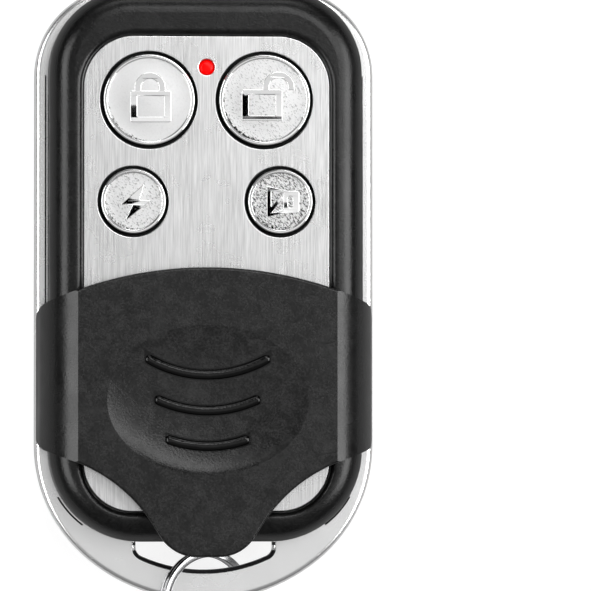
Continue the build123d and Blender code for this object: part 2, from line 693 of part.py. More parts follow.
def battery_contact(side, inner_face):
    """Upright contact plate with a tail that runs back under the board."""
    outer_face = inner_face + CONTACT_THICKNESS
    low_y = BATTERY_Y - CONTACT_BELOW
    high_y = BOARD_LOW_END - CONTACT_BOARD_GAP
    plate = box_between(
        (inner_face, low_y, BACK_THICKNESS + CONTACT_FOOT_GAP),
        (outer_face, high_y, BATTERY_Z + CONTACT_ABOVE))
    tail_top = BOARD_UNDERSIDE - CONTACT_GAP
    tail = box_between(
        (inner_face - CONTACT_TAIL_REACH, high_y - CONTACT_TAIL_START, tail_top - CONTACT_THICKNESS),
        (outer_face, high_y + CONTACT_TAIL_END, tail_top))
    contact = plate + tail
    if side < 0:
        return mirror(contact, Plane.YZ)
    return contact


def contact_bump(centre_x):
    """Round bump pressed into a contact plate, towards the cell."""
    bump = Cone(*CONTACT_BUMP_RADII, CONTACT_BUMP)
    return Pos(centre_x, BATTERY_Y, BATTERY_Z) * Rot(0, 90, 0) * bump


def battery_contact_plus():
    """Contact at the raised pole."""
    pole_face = BATTERY_LENGTH / 2 + BATTERY_TIP_LENGTH
    return battery_contact(1, pole_face + CONTACT_GAP)


def battery_contact_minus():
    """Contact at the flat pole, with a bump that presses on the cell."""
    can_face = BATTERY_LENGTH / 2
    middle = can_face + CONTACT_GAP + CONTACT_BUMP / 2
    contact = battery_contact(-1, can_face + CONTACT_GAP + CONTACT_BUMP)
    return contact + contact_bump(-middle)


def chip(place, size, leg_count, leg_pitch):
    """Moulded chip with a row of legs on each long side."""
    half_x, half_y = size[0] / 2, size[1] / 2
    body = box_between(
        (place[0] - half_x, place[1] - half_y, BOARD_TOP + CHIP_STANDOFF),
        (place[0] + half_x, place[1] + half_y, BOARD_TOP + size[2]))
    leg = Box(CHIP_LEG_WIDTH, size[1] + 2 * CHIP_LEG_REACH, CHIP_LEG_THICKNESS)
    row_start = place[0] - (leg_count - 1) * leg_pitch / 2
    for index in range(leg_count):
        x = row_start + index * leg_pitch
        body += Pos(x, place[1], BOARD_TOP + CHIP_LEG_THICKNESS / 2) * leg
    return body


def encoder_chip():
    """Code chip between the two small switches."""
    return chip(ENCODER_PLACE, ENCODER_SIZE, ENCODER_LEGS, ENCODER_LEG_PITCH)


def rf_transistor():
    """Transistor of the transmitter stage."""
    return chip(TRANSISTOR_PLACE, TRANSISTOR_SIZE, TRANSISTOR_LEGS, TRANSISTOR_LEG_PITCH)


def saw_resonator():
    """Round metal can that sets the transmitter's frequency."""
    can = rod(RESONATOR_PLACE, RESONATOR_RADIUS, BOARD_TOP, BOARD_TOP + RESONATOR_HEIGHT)
    can = fillet(can.faces().sort_by(Axis.Z)[-1].edges(), RESONATOR_ROUND)
    rim_top = BOARD_TOP + RESONATOR_RIM_HEIGHT
    return can + rod(RESONATOR_PLACE, RESONATOR_RIM_RADIUS, BOARD_TOP, rim_top)


def trimmer_capacitor():
    """Adjustable capacitor with a slotted screw."""
    x, y = TRIMMER_PLACE
    half = TRIMMER_HALF_WIDTH
    base_top = BOARD_TOP + TRIMMER_BASE_HEIGHT
    rotor_top = base_top + TRIMMER_ROTOR_HEIGHT
    base = box_between((x - half, y - half, BOARD_TOP), (x + half, y + half, base_top))
    rotor = rod(TRIMMER_PLACE, TRIMMER_ROTOR_RADIUS, base_top, rotor_top)
    slot = Pos(x, y, rotor_top) * Box(*TRIMMER_SLOT, TRIMMER_ROTOR_HEIGHT)
    return base + (rotor - slot)


def rf_coil():
    """Moulded coil of the transmitter stage, lying on the board."""
    body = Rot(0, 90, 0) * Cylinder(COIL_RADIUS, COIL_LENGTH)
    body = fillet(body.edges().filter_by(GeomType.CIRCLE), COIL_ROUND)
    return Pos(*COIL_PLACE, BOARD_TOP + COIL_RADIUS + COIL_STANDOFF) * body


def board_row(places, size):
    """Row of equal small parts on the board, long side along X."""
    parts = [Pos(x, y, BOARD_TOP + size[2] / 2) * Box(*size) for x, y in places]
    return Part() + parts


def resistors():
    """Small resistors beside the code chip and the light."""
    column = [
        (0, RESISTOR_COLUMN_START + RESISTOR_COLUMN_STEP * index)
        for index in range(RESISTOR_COLUMN_COUNT)]
    return board_row(column + list(RESISTOR_SINGLES), RESISTOR_SIZE)


def capacitors():
    """Small capacitors along the board's low edge."""
    return board_row([(x, CAPACITOR_ROW_Y) for x in CAPACITOR_PLACES], CAPACITOR_SIZE)


def screw(place, seat, tip, radius, head_radius, head_height):
    """Cross-head screw, driven upwards from the back."""
    head = rod(place, head_radius, seat, seat + head_height)
    body = head + rod(place, radius, seat + head_height, tip)
    arm = CROSS_SLOT_REACH * head_radius
    slot_z = seat + CROSS_SLOT_DEPTH / 2
    for size in ((arm, CROSS_SLOT_WIDTH), (CROSS_SLOT_WIDTH, arm)):
        body -= Pos(place[0], place[1], slot_z) * Box(size[0], size[1], CROSS_SLOT_DEPTH)
    return body


def case_screws():
    """Two screws that hold the shell to the frame."""
    screws = [
        screw(place, CASE_SCREW_START, CASE_SCREW_TIP, CASE_SCREW_RADIUS,
              CASE_SCREW_HEAD_RADIUS, CASE_SCREW_HEAD_HEIGHT)
        for place in CASE_SCREW_PLACES]
    return Part() + screws


def board_screws():
    """Two screws that hold the board to the frame's posts."""
    seat = BOARD_UNDERSIDE - BOARD_SCREW_HEAD_HEIGHT
    screws = [
        screw(place, seat, BOARD_SCREW_TIP, BOARD_SCREW_RADIUS,
              BOARD_SCREW_HEAD_RADIUS, BOARD_SCREW_HEAD_HEIGHT)
        for place in BOARD_SCREW_PLACES]
    return Part() + screws


def cover_section():
    """Section of the cover across its width: flat top, creases, slopes and skirts.

    Each half goes up the skirt's outside, round the shoulder, along the slope
    to the crease, and back along the inside.
    """
    slope = radians(COVER_SLOPE)
    slope_end_x = COVER_CREASE + COVER_SLOPE_WIDTH
    slope_end_z = COVER_TOP - COVER_SLOPE_WIDTH * sin(slope) / cos(slope)
    shoulder = (COVER_SHOULDER_HALF_WIDTH - slope_end_x) / (1 - sin(slope))
    shoulder_centre = (COVER_SHOULDER_HALF_WIDTH - shoulder, slope_end_z - shoulder * cos(slope))
    middle = radians(45 - COVER_SLOPE / 2)
    shoulder_middle = (
        shoulder_centre[0] + shoulder * cos(middle), shoulder_centre[1] + shoulder * sin(middle))
    shoulder_low = (COVER_SHOULDER_HALF_WIDTH, shoulder_centre[1])
    inner_x = COVER_SHOULDER_HALF_WIDTH - COVER_WALL
    inner_start = inner_x - COVER_INNER_ROUND
    inner_low = (inner_x, COVER_UNDERSIDE - COVER_INNER_ROUND)
    inner_middle = (
        inner_start + COVER_INNER_ROUND * cos(pi / 4),
        COVER_UNDERSIDE - COVER_INNER_ROUND + COVER_INNER_ROUND * sin(pi / 4))
    half = [
        Line((0, COVER_TOP), (COVER_CREASE, COVER_TOP)),
        Line((COVER_CREASE, COVER_TOP), (slope_end_x, slope_end_z)),
        ThreePointArc((slope_end_x, slope_end_z), shoulder_middle, shoulder_low),
        Line(shoulder_low, (COVER_HALF_WIDTH, COVER_SKIRT_BOTTOM)),
        Line((COVER_HALF_WIDTH, COVER_SKIRT_BOTTOM),
             (COVER_HALF_WIDTH - COVER_WALL, COVER_SKIRT_BOTTOM)),
        Line((COVER_HALF_WIDTH - COVER_WALL, COVER_SKIRT_BOTTOM), inner_low),
        ThreePointArc(inner_low, inner_middle, (inner_start, COVER_UNDERSIDE)),
        Line((inner_start, COVER_UNDERSIDE), (0, COVER_UNDERSIDE)),
        Line((0, COVER_UNDERSIDE), (0, COVER_TOP)),
    ]
    return make_face(Curve() + half)


def cover_outline():
    """Outline of the cover from above: arched top, hips, waist and tongue."""
    edge_x = COVER_HALF_WIDTH
    edge_drop = COVER_ARC_RADIUS - sqrt(COVER_ARC_RADIUS ** 2 - edge_x ** 2)
    skirt_top = (edge_x, COVER_ARC_PEAK - edge_drop)
    right = [SKIRT_LOW_CORNER, HIP, WAIST, TONGUE_CORNER]
    left = [(-x, y) for x, y in reversed(right)]
    lower = Polyline(skirt_top, *right, *left, (-skirt_top[0], skirt_top[1]))
    arch = ThreePointArc((-skirt_top[0], skirt_top[1]), (0, COVER_ARC_PEAK), skirt_top)
    face = Sketch() + make_face(Curve() + [lower, arch])
    rounds = (
        (skirt_top, SKIRT_TOP_ROUND), (SKIRT_LOW_CORNER, SKIRT_LOW_ROUND), (HIP, HIP_ROUND),
        (WAIST, WAIST_ROUND), (TONGUE_CORNER, TONGUE_ROUND))
    for corner, radius in rounds:
        pair = [point for point in face.vertices()
                if abs(abs(point.X) - corner[0]) < NEAR and abs(point.Y - corner[1]) < NEAR]
        face = fillet(pair, radius)
    return face


def thumb_dish():
    """Flat ellipsoid that cuts the thumb hollow.

    It is tilted towards the tail, so the hollow's lower edge is crisp and its
    upper edge fades into the cover.
    """
    bowl = scale(Sphere(1), by=DISH_SEMI_AXES)
    return Pos(0, DISH_CENTRE_Y, COVER_TOP + DISH_LIFT) * Rot(DISH_TILT, 0, 0) * bowl


def grip_rib(centre_y, half_chord, top):
    """Raised rib in the thumb hollow, bent upwards at both ends, with round ends."""
    half_angle = degrees(asin(half_chord / GRIP_RIB_BEND))
    bend = CenterArc(
        (0, centre_y + GRIP_RIB_BEND), GRIP_RIB_BEND, 270 - half_angle, 2 * half_angle)
    stroke = SlotArc(bend, GRIP_RIB_WIDTH)
    rib = Pos(0, 0, GRIP_RIB_FOOT) * extrude(stroke, top - GRIP_RIB_FOOT)
    return fillet(rib.faces().sort_by(Axis.Z)[-1].edges(), GRIP_RIB_ROUND)


def round_cover_edge(cover, outline):
    """Round the cover's top edge where its flat top meets the outline."""
    rim = outline.faces()[0].outer_wire()
    for upper in (True, False):
        edges = []
        for edge in cover.edges():
            middle = edge @ 0.5
            on_rim = rim.distance_to(Vertex(middle.X, middle.Y, 0)) < NEAR
            if on_rim and abs(middle.Z - COVER_TOP) < NEAR and (middle.Y > 0) == upper:
                edges.append(edge)
        cover = fillet(edges, COVER_EDGE_ROUND)
    return cover


def slide_cover():
    """Sliding cover, drawn open, with its thumb dish, grip ribs and side hooks."""
    stand = Plane(origin=(0, 0, 0), x_dir=(1, 0, 0), z_dir=(0, -1, 0))
    half = extrude(stand * cover_section(), THROUGH, both=True)
    channel = half + mirror(half, Plane.YZ)
    outline = cover_outline()
    cover = channel & extrude(outline, THROUGH)
    cover = round_cover_edge(cover, outline)
    cover -= thumb_dish()
    for centre_y, half_chord, top in GRIP_RIBS:
        cover += grip_rib(centre_y, half_chord, top)
    low_y, high_y = HOOK_ENDS
    wall_inside = COVER_HALF_WIDTH - COVER_WALL / 2
    hook = box_between((HOOK_REACH, low_y, HOOK_LOW), (wall_inside, high_y, HOOK_HIGH))
    return cover + hook + mirror(hook, Plane.YZ)


def ring_path():
    """Line of the split ring: half turns, each tilted to fall by half a pitch."""
    fall = RING_PITCH / 2
    half_turns = 2 * RING_TURNS
    bulge = sqrt(RING_RADIUS ** 2 + (fall / 2) ** 2)
    arcs = []
    for index in range(half_turns):
        high_z = fall * (half_turns / 2 - index)
        side = -1 if index % 2 else 1
        arcs.append(ThreePointArc(
            (0, side * RING_RADIUS, high_z), (-side * bulge, 0, high_z - fall / 2),
            (0, -side * RING_RADIUS, high_z - fall)))
    return Wire(Curve() + arcs)


def report_ring(path):
    """Print the least gap between the ring's turns, measured on points."""
    samples = [path @ (index / RING_SAMPLES) for index in range(RING_SAMPLES + 1)]
    away = RING_SAMPLES // (2 * RING_TURNS)
    least = min(
        (samples[i] - samples[j]).length
        for i in range(len(samples)) for j in range(i + away, len(samples)))
    print("least gap between the ring's turns", round(least - 2 * RING_WIRE_RADIUS, 3))


def key_ring():
    """Split ring, tilted so that its left side passes over the bar."""
    path = ring_path()
    report_ring(path)
    start = Plane(origin=path @ 0, z_dir=path % 0)
    coil = sweep(start * Circle(RING_WIRE_RADIUS), path=path)
    return Pos(*RING_CENTRE) * Rot(0, RING_TILT, 0) * coil


def main():
    """Make every piece and write one STEP file for each."""
    os.makedirs("parts", exist_ok=True)
    nodes = {
        "back_shell": back_shell(),
        "front_frame": front_frame(),
        "face_plate": face_plate(),
        "slide_cover": slide_cover(),
        "key_ring": key_ring(),
        "circuit_board": circuit_board(),
        "led_chip": led_chip(),
        "led_light_pipe": led_light_pipe(),
        "battery": battery(),
        "battery_contact_plus": battery_contact_plus(),
        "battery_contact_minus": battery_contact_minus(),
        "encoder_chip": encoder_chip(),
        "rf_transistor": rf_transistor(),
        "saw_resonator": saw_resonator(),
        "trimmer_capacitor": trimmer_capacitor(),
        "rf_coil": rf_coil(),
        "resistors": resistors(),
        "capacitors": capacitors(),
        "switch_leads": switch_leads(),
        "case_screws": case_screws(),
        "board_screws": board_screws(),
    }
    for name, place in BUTTONS.items():
        nodes[name + "_button"] = button_cap(name)
        nodes[name + "_switch_base"] = switch_base(place)
        nodes[name + "_switch_cover"] = switch_cover(place)
        nodes[name + "_switch_stem"] = switch_stem(place)
        nodes[name + "_switch_dome"] = switch_dome(place)
    for name, shape in nodes.items():
        export_step(shape, "parts/" + name + ".step")


main()
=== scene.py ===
"""Finished look of a four-button wireless remote control with a sliding button cover.

The remote lies on its back: +Z comes out of the button face, +Y runs from the key
ring to the top end and +X is to the right. Sizes in the classes are millimetres, and
MM turns them into metres where a mesh, a lamp or the camera is made. The construction
model gives the place of every piece. Pieces whose edges need more detail than the
construction holds are made here as surfaces worked out with numpy.
"""
import logging
import math
from collections.abc import Sequence
from dataclasses import dataclass
from enum import Enum

import bmesh
import bpy
import numpy as np
from mathutils import Matrix, Vector
from mathutils.geometry import tessellate_polygon


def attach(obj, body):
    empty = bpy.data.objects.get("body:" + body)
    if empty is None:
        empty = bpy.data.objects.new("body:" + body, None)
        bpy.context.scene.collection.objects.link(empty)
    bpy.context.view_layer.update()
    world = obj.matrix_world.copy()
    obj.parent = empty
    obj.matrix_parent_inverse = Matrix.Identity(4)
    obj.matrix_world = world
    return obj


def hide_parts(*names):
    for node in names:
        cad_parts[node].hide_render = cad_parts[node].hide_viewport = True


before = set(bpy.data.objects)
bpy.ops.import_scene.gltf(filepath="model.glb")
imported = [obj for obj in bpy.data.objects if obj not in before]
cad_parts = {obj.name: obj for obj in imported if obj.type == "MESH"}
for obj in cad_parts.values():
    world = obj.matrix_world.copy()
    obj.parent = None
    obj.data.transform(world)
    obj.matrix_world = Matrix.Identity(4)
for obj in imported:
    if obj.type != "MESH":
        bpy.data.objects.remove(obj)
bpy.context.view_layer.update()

MM = 0.001
PER_MM = 1000.0
MERGE_METRES = 2e-7
SMALLEST = 1e-6
SHARP_ANGLE = 40.0
FLAT_FACE_ANGLE = 8.0
SMUDGE_RANGE = (0.35, 0.65)
Colour = tuple[float, float, float]
Pair = tuple[float, float]
Place = tuple[float, float, float]
Slab = list[np.ndarray]
Socket = bpy.types.NodeSocket
Sockets = bpy.types.bpy_prop_collection

log = logging.getLogger("remote")


# Paths and profiles

def unit(vectors: np.ndarray) -> np.ndarray:
    """Vectors of an array scaled to length one; a zero vector stays zero."""
    length = np.linalg.norm(vectors, axis=-1, keepdims=True)
    return vectors / np.where(length > 0, length, 1)


def rounded_path(corners: Sequence[Pair] | np.ndarray,
                 radii: Sequence[float] | np.ndarray | float, closed: bool = True,
                 steps: int = 8) -> np.ndarray:
    """Straight runs between corner points, with an arc at each corner.

    With h as half the angle between a corner's two runs, the arc's centre lies
    radius / sin(h) along the bisector and the arc starts radius / tan(h) along each run.
    Each point of the arc is the centre plus the starting radius, turned by its share of
    the corner's whole turn.

    Args:
        corners: corner points in order, in millimetres.
        radii: one radius for all corners, or one for each.
        closed: whether the last corner joins the first; if not, both ends stay sharp.
        steps: straight pieces in each arc.

    Returns:
        Points along the path, without repeats.
    """
    points = np.asarray(corners, float)
    radius = np.broadcast_to(np.asarray(radii, float), len(points)).copy()
    if not closed:
        radius[[0, -1]] = 0
    before = unit(np.roll(points, 1, 0) - points)
    after = unit(np.roll(points, -1, 0) - points)
    half = np.arccos(np.clip((before * after).sum(1), -1, 1)) / 2
    half = np.clip(half, SMALLEST, math.pi / 2)
    centre = points + unit(before + after) * (radius / np.sin(half))[:, None]
    start = points + before * (radius / np.tan(half))[:, None] - centre
    side = np.sign(before[:, 1] * after[:, 0] - before[:, 0] * after[:, 1])
    turn = (side * (math.pi - 2 * half))[:, None] * np.linspace(0, 1, steps + 1)
    across = np.stack([-start[:, 1], start[:, 0]], 1)
    path = (centre[:, None] + start[:, None] * np.cos(turn)[..., None]
            + across[:, None] * np.sin(turn)[..., None]).reshape(-1, 2)
    apart = np.linalg.norm(path - np.roll(path, 1, 0), axis=1) > SMALLEST
    apart[0] = apart[0] or not closed
    return path[apart]


def rounded_profile(corners: Sequence[Place], steps: int = 8) -> np.ndarray:
    """Open path through corners of radius, height and the round of the corner."""
    table = np.array(corners, float)
    return rounded_path(table[:, :2], table[:, 2], False, steps)


def box_corners(left: float, low: float, right: float, top: float) -> list[Pair]:
    """Corners of a rectangle, anticlockwise from the lower left."""
    return [(left, low), (right, low), (right, top), (left, top)]


def circle(centre: Pair, radius: float, count: int = 128) -> np.ndarray:
    """Closed circle: the centre plus radius times the cosine and sine of even angles."""
    angle = np.linspace(0, 2 * math.pi, count, endpoint=False)
    return np.array(centre) + radius * np.stack([np.cos(angle), np.sin(angle)], 1)


def dense(loop: np.ndarray, spacing: float) -> np.ndarray:
    """Closed loop with even points added to each run that is longer than the spacing.

    A run of n parts gets its start plus 0/n, 1/n and so on of its length.

    Args:
        loop: closed path.
        spacing: longest run that stays whole.

    Returns:
        The loop with the added points.
    """
    run = np.roll(loop, -1, 0) - loop
    parts = np.ceil(np.linalg.norm(run, axis=1) / spacing).astype(int)
    start = np.repeat(np.arange(len(loop)), parts)
    step = np.arange(parts.sum()) - np.repeat(np.cumsum(parts) - parts, parts)
    return loop[start] + run[start] * (step / parts[start])[:, None]


def turned(loop: np.ndarray, counter_clockwise: bool) -> np.ndarray:
    """The loop in the order asked for, told from the sign of its shoelace area.

    Args:
        loop: closed path.
        counter_clockwise: the order asked for.

    Returns:
        The loop, reversed where it ran the other way.
    """
    ahead = np.roll(loop, -1, 0)
    area = (loop[:, 0] * ahead[:, 1] - ahead[:, 0] * loop[:, 1]).sum()
    return loop if (area > 0) == counter_clockwise else loop[::-1]


def inset(loop: np.ndarray, distance: float) -> np.ndarray:
    """The loop moved to its left by a distance.

    Each point moves along the mitre of the normals of its two runs: their sum over one
    plus their dot product.

    Args:
        loop: closed path.
        distance: how far its runs move.

    Returns:
        The moved loop.
    """
    run = unit(np.roll(loop, -1, 0) - loop)
    normal = np.stack([-run[:, 1], run[:, 0]], 1)
    earlier = np.roll(normal, 1, 0)
    mitre = (normal + earlier) / (1 + (normal * earlier).sum(1, keepdims=True))
    return loop + distance * mitre


def at_height(loop: np.ndarray, height: float) -> np.ndarray:
    """Flat points lifted to one height."""
    return np.column_stack([loop, np.full(len(loop), height)])


def edge_profile(radius: float, steps: int = 5) -> np.ndarray:
    """Quarter round of an upper edge, as pairs of inward distance and drop.

    The distance is radius times one minus the cosine, and the drop is radius times one
    minus the sine, of an angle from zero to a right angle.

    Args:
        radius: radius of the edge.
        steps: straight pieces in the round.

    Returns:
        Pairs of inward distance and drop, from the wall to the face.
    """
    angle = np.linspace(0, math.pi / 2, steps + 1)
    return radius * np.stack([1 - np.cos(angle), 1 - np.sin(angle)], 1)


class Surface:
    """Collects grids and flat faces in millimetres and makes one closed mesh of them."""

    def __init__(self, name: str) -> None:
        """Start an empty surface.

        Args:
            name: the name that its object gets.
        """
        self.name = name
        self.points: list[np.ndarray] = []
        self.faces: list[tuple[int, ...]] = []
        self.uvs: list[np.ndarray] = []
        self.count = 0

    def add_points(self, points: np.ndarray, uv: np.ndarray | None = None) -> int:
        """Keep points, with their UV pairs or zeros.

        Args:
            points: array of points, three numbers each.
            uv: array of two numbers for each point.

        Returns:
            Index of the first point.
        """
        first = self.count
        self.points.append(points)
        self.uvs.append(np.zeros((len(points), 2)) if uv is None else uv)
        self.count += len(points)
        return first

    def add_grid(self, grid: np.ndarray, uv: np.ndarray | None = None) -> None:
        """Add a grid of points as four-sided faces.

        Args:
            grid: rows by columns by three. A closed direction repeats its first line.
            uv: rows by columns by two, or None.
        """
        rows, columns = grid.shape[:2]
        flat_uv = None if uv is None else uv.reshape(-1, 2)
        first = self.add_points(grid.reshape(-1, 3), flat_uv)
        index = first + np.arange(rows * columns).reshape(rows, columns)
        quads = np.stack([index[:-1, :-1], index[1:, :-1], index[1:, 1:], index[:-1, 1:]], -1)
        self.faces += quads.reshape(-1, 4).tolist()

    def add_flat(self, loops: Slab, height: float) -> None:
        """Fill an outline and its holes with a flat face at one height.

        Args:
            loops: the outline first, then its holes.
            height: height of the face.
        """
        lifted = [at_height(loop, height) for loop in loops]
        first = self.add_points(np.concatenate(lifted))
        filled = tessellate_polygon([[Vector(point) for point in loop] for loop in lifted])
        self.faces += [tuple(first + corner for corner in face) for face in filled]

    def add_walls(self, loop: np.ndarray, profile: np.ndarray) -> None:
        """Carry a profile along a loop: each ring is the loop, moved in and lifted.

        Args:
            loop: closed path from above.
            profile: pairs of inset from the loop and height.
        """
        rings = [at_height(inset(loop, away), height) for away, height in profile]
        grid = np.stack(rings)
        self.add_grid(np.concatenate([grid, grid[:, :1]], 1))

    def add_slab(self, loops: Slab, low: float, high: float, edge: float) -> None:
        """Add a flat slab with holes, whose upper edges are rounded.

        Args:
            loops: the outline first, then its holes.
            low: height of its underside.
            high: height of its face.
            edge: radius of its upper edges.
        """
        ordered = [turned(loop, place == 0) for place, loop in enumerate(loops)]
        rounding = edge_profile(edge)
        profile = np.stack([rounding[:, 0], high - rounding[:, 1]], 1)
        profile = np.concatenate([[[0, low]], profile])
        for loop in ordered:
            self.add_walls(loop, profile)
        self.add_flat([inset(loop, edge) for loop in ordered], high)
        self.add_flat(ordered, low)

    def add_turning(self, profile: np.ndarray, centre: Pair, count: int = 96) -> None:
        """Turn a profile of radius and height pairs about an upright axis.

        X and Y are the centre plus the radius times the cosine and sine of the angle.

        Args:
            profile: pairs of radius and height.
            centre: place of the axis.
            count: steps in the whole turn.
        """
        angle = np.linspace(0, 2 * math.pi, count + 1)
        radius, height = profile[:, :1], profile[:, 1:]
        x = centre[0] + radius * np.cos(angle)
        y = centre[1] + radius * np.sin(angle)
        self.add_grid(np.stack([x, y, np.broadcast_to(height, x.shape)], -1))

    def make(self, material: bpy.types.Material, sharp_angle: float = SHARP_ANGLE,
             level: np.ndarray | None = None) -> bpy.types.Object:
        """Make the object: doubles merged, faces outwards, shaded smooth but for sharp edges.

        Args:
            material: the piece's finish.
            sharp_angle: edges that turn by more than this many degrees stay sharp.
            level: a number for each point, kept as the attribute that finishes read.

        Returns:
            The mesh object, at the origin.
        """
        mesh = bpy.data.meshes.new(self.name)
        mesh.from_pydata((np.concatenate(self.points) * MM).tolist(), [], self.faces)
        if level is not None:
            kept = mesh.attributes.new("level", "FLOAT", "POINT")
            kept.data.foreach_set("value", level.astype(np.float32))
        corner = np.zeros(len(mesh.loops), int)
        mesh.loops.foreach_get("vertex_index", corner)
        layer = mesh.uv_layers.new(name="along")
        layer.data.foreach_set("uv", np.concatenate(self.uvs)[corner].astype(np.float32).ravel())
        work = bmesh.new()
        work.from_mesh(mesh)
        bmesh.ops.remove_doubles(work, verts=work.verts, dist=MERGE_METRES)
        bmesh.ops.recalc_face_normals(work, faces=work.faces)
        work.to_mesh(mesh)
        work.free()
        mesh.shade_smooth()
        mesh.set_sharp_from_angle(angle=math.radians(sharp_angle))
        mesh.materials.append(material)
        piece = bpy.data.objects.new(self.name, mesh)
        bpy.context.scene.collection.objects.link(piece)
        return piece


# Shader graphs

def grey(level: float) -> Colour:
    """Neutral colour of one level."""
    return (level, level, level)


class Graph:
    """Short-hand for adding and joining the nodes of one tree."""

    def __init__(self, tree: bpy.types.NodeTree) -> None:
        """Work on a tree."""
        self.tree = tree

    def feed(self, node: bpy.types.Node, inputs: dict[str | int, object]) -> None:
        """Fill a node's inputs: a socket is linked, and anything else is set as a value.

        Args:
            node: node to fill.
            inputs: input name or number to a socket or a value.
        """
        for name, value in inputs.items():
            if isinstance(value, bpy.types.NodeSocket):
                self.tree.links.new(value, node.inputs[name])
            else:
                node.inputs[name].default_value = value

    def add(self, kind: str, inputs: dict[str | int, object] | None = None,
            **settings: object) -> bpy.types.Node:
        """Add a node.

        Args:
            kind: node type without its ShaderNode prefix.
            inputs: input name or number to a socket to link or a value to set.
            settings: the node's own properties.

        Returns:
            The new node.
        """
        node = self.tree.nodes.new("ShaderNode" + kind)
        for name, value in settings.items():
            setattr(node, name, value)
        self.feed(node, inputs or {})
        return node

    def split(self, vector: Socket) -> Sockets:
        """X, Y and Z of a vector."""
        return self.add("SeparateXYZ", {"Vector": vector}).outputs

    def math(self, operation: str, first: Socket | float, second: Socket | float = 0.0,
             third: Socket | float = 0.0, clamp: bool = False) -> Socket:
        """Work on up to three numbers with one math node.

        Args:
            operation: the node's operation.
            first: first number.
            second: second number, where the operation has one.
            third: third number, where the operation has one.
            clamp: whether the result is held between zero and one.

        Returns:
            The result.
        """
        node = self.add("Math", {0: first, 1: second, 2: third}, operation=operation,
                        use_clamp=clamp)
        return node.outputs[0]

    def product(self, first: Socket, *others: Socket | float) -> Socket:
        """Product of several numbers; of masks, it is one where all of them are.

        Args:
            first: first number.
            others: the rest of the numbers.

        Returns:
            The product.
        """
        for other in others:
            first = self.math("MULTIPLY", first, other)
        return first

    def between(self, value: Socket, low: float, high: float) -> Socket:
        """One where a value lies between two limits, else zero."""
        return self.product(self.math("GREATER_THAN", value, low),
                            self.math("LESS_THAN", value, high))

    def away(self, value: Socket, middle: float) -> Socket:
        """Distance of a value from its middle."""
        return self.math("ABSOLUTE", self.math("SUBTRACT", value, middle))

    def ramp(self, value: Socket, low: float, high: float, to_low: float = 0.0,
             to_high: float = 1.0) -> Socket:
        """Map a value from one range onto another, held at the ends.

        Args:
            value: the value.
            low: start of its own range.
            high: end of its own range.
            to_low: what the start becomes.
            to_high: what the end becomes.

        Returns:
            The mapped value.
        """
        node = self.add("MapRange", {"Value": value, "From Min": low, "From Max": high,
                                     "To Min": to_low, "To Max": to_high}, clamp=True)
        return node.outputs["Result"]

    def blend(self, factor: Socket, first: Socket | Colour, second: Socket | Colour) -> Socket:
        """Colour between two by a factor; each of the two is a socket or plain.

        Args:
            factor: zero for the first colour, one for the second.
            first: a colour, or the socket that gives it.
            second: a colour, or the socket that gives it.

        Returns:
            The mixed colour.
        """
        ends = [(*end, 1) if isinstance(end, tuple) else end for end in (first, second)]
        node = self.add("Mix", {"Factor": factor, "A": ends[0], "B": ends[1]}, data_type="RGBA")
        return node.outputs["Result"]

    def noise(self, vector: Socket, scale: Socket | float, detail: float,
              roughness: float = 0.5, distortion: float = 0.0) -> Socket:
        """Add a noise texture.

        Args:
            vector: coordinates that it lies in.
            scale: how many times it varies in a unit of them.
            detail: number of finer layers.
            roughness: share of each finer layer.
            distortion: how far it is folded.

        Returns:
            Its value, which varies about 0.5.
        """
        node = self.add("TexNoise", {"Vector": vector, "Scale": scale, "Detail": detail,
                                     "Roughness": roughness, "Distortion": distortion})
        return node.outputs["Fac"]


def new_material(title: str, colour: Colour) -> tuple[bpy.types.Material, Graph, bpy.types.Node]:
    """Make a material of one colour.

    Args:
        title: its name.
        colour: its colour, until something is linked there.

    Returns:
        The material, its graph and its shader node.
    """
    made = bpy.data.materials.new(title)
    made.use_nodes = True
    made.diffuse_color = (*colour, 1)
    shader = made.node_tree.nodes["Principled BSDF"]
    shader.inputs["Base Color"].default_value = (*colour, 1)
    return made, Graph(made.node_tree), shader


class Effect:
    """Shader node group that several finishes share, built once and placed in each."""

    title: str
    inputs: dict[str, object]
    outputs: tuple[str, ...]

    @classmethod
    def group(cls) -> bpy.types.NodeTree:
        """Build the group on first use; a tuple among its inputs stands for a vector.

        Returns:
            The group.
        """
        if cls.title in bpy.data.node_groups:
            return bpy.data.node_groups[cls.title]
        group = bpy.data.node_groups.new(cls.title, "ShaderNodeTree")
        for name, value in cls.inputs.items():
            kind = "NodeSocketVector" if isinstance(value, tuple) else "NodeSocketFloat"
            socket = group.interface.new_socket(name, in_out="INPUT", socket_type=kind)
            socket.default_value = value
        for name in cls.outputs:
            group.interface.new_socket(name, in_out="OUTPUT", socket_type="NodeSocketFloat")
        source = group.nodes.new("NodeGroupInput")
        target = group.nodes.new("NodeGroupOutput")
        graph = Graph(group)
        graph.feed(target, cls.work_out(graph, source.outputs))
        return group

    @classmethod
    def placed(cls, graph: Graph, inputs: dict[str, object]) -> Sockets:
        """Outputs of the group, placed in a material with its inputs filled."""
        return graph.add("Group", inputs, node_tree=cls.group()).outputs

    @classmethod
    def work_out(cls, graph: Graph, given: Sockets) -> dict[str, Socket]:
        """Add the group's nodes and give its outputs by name; each effect has its own."""
        raise NotImplementedError


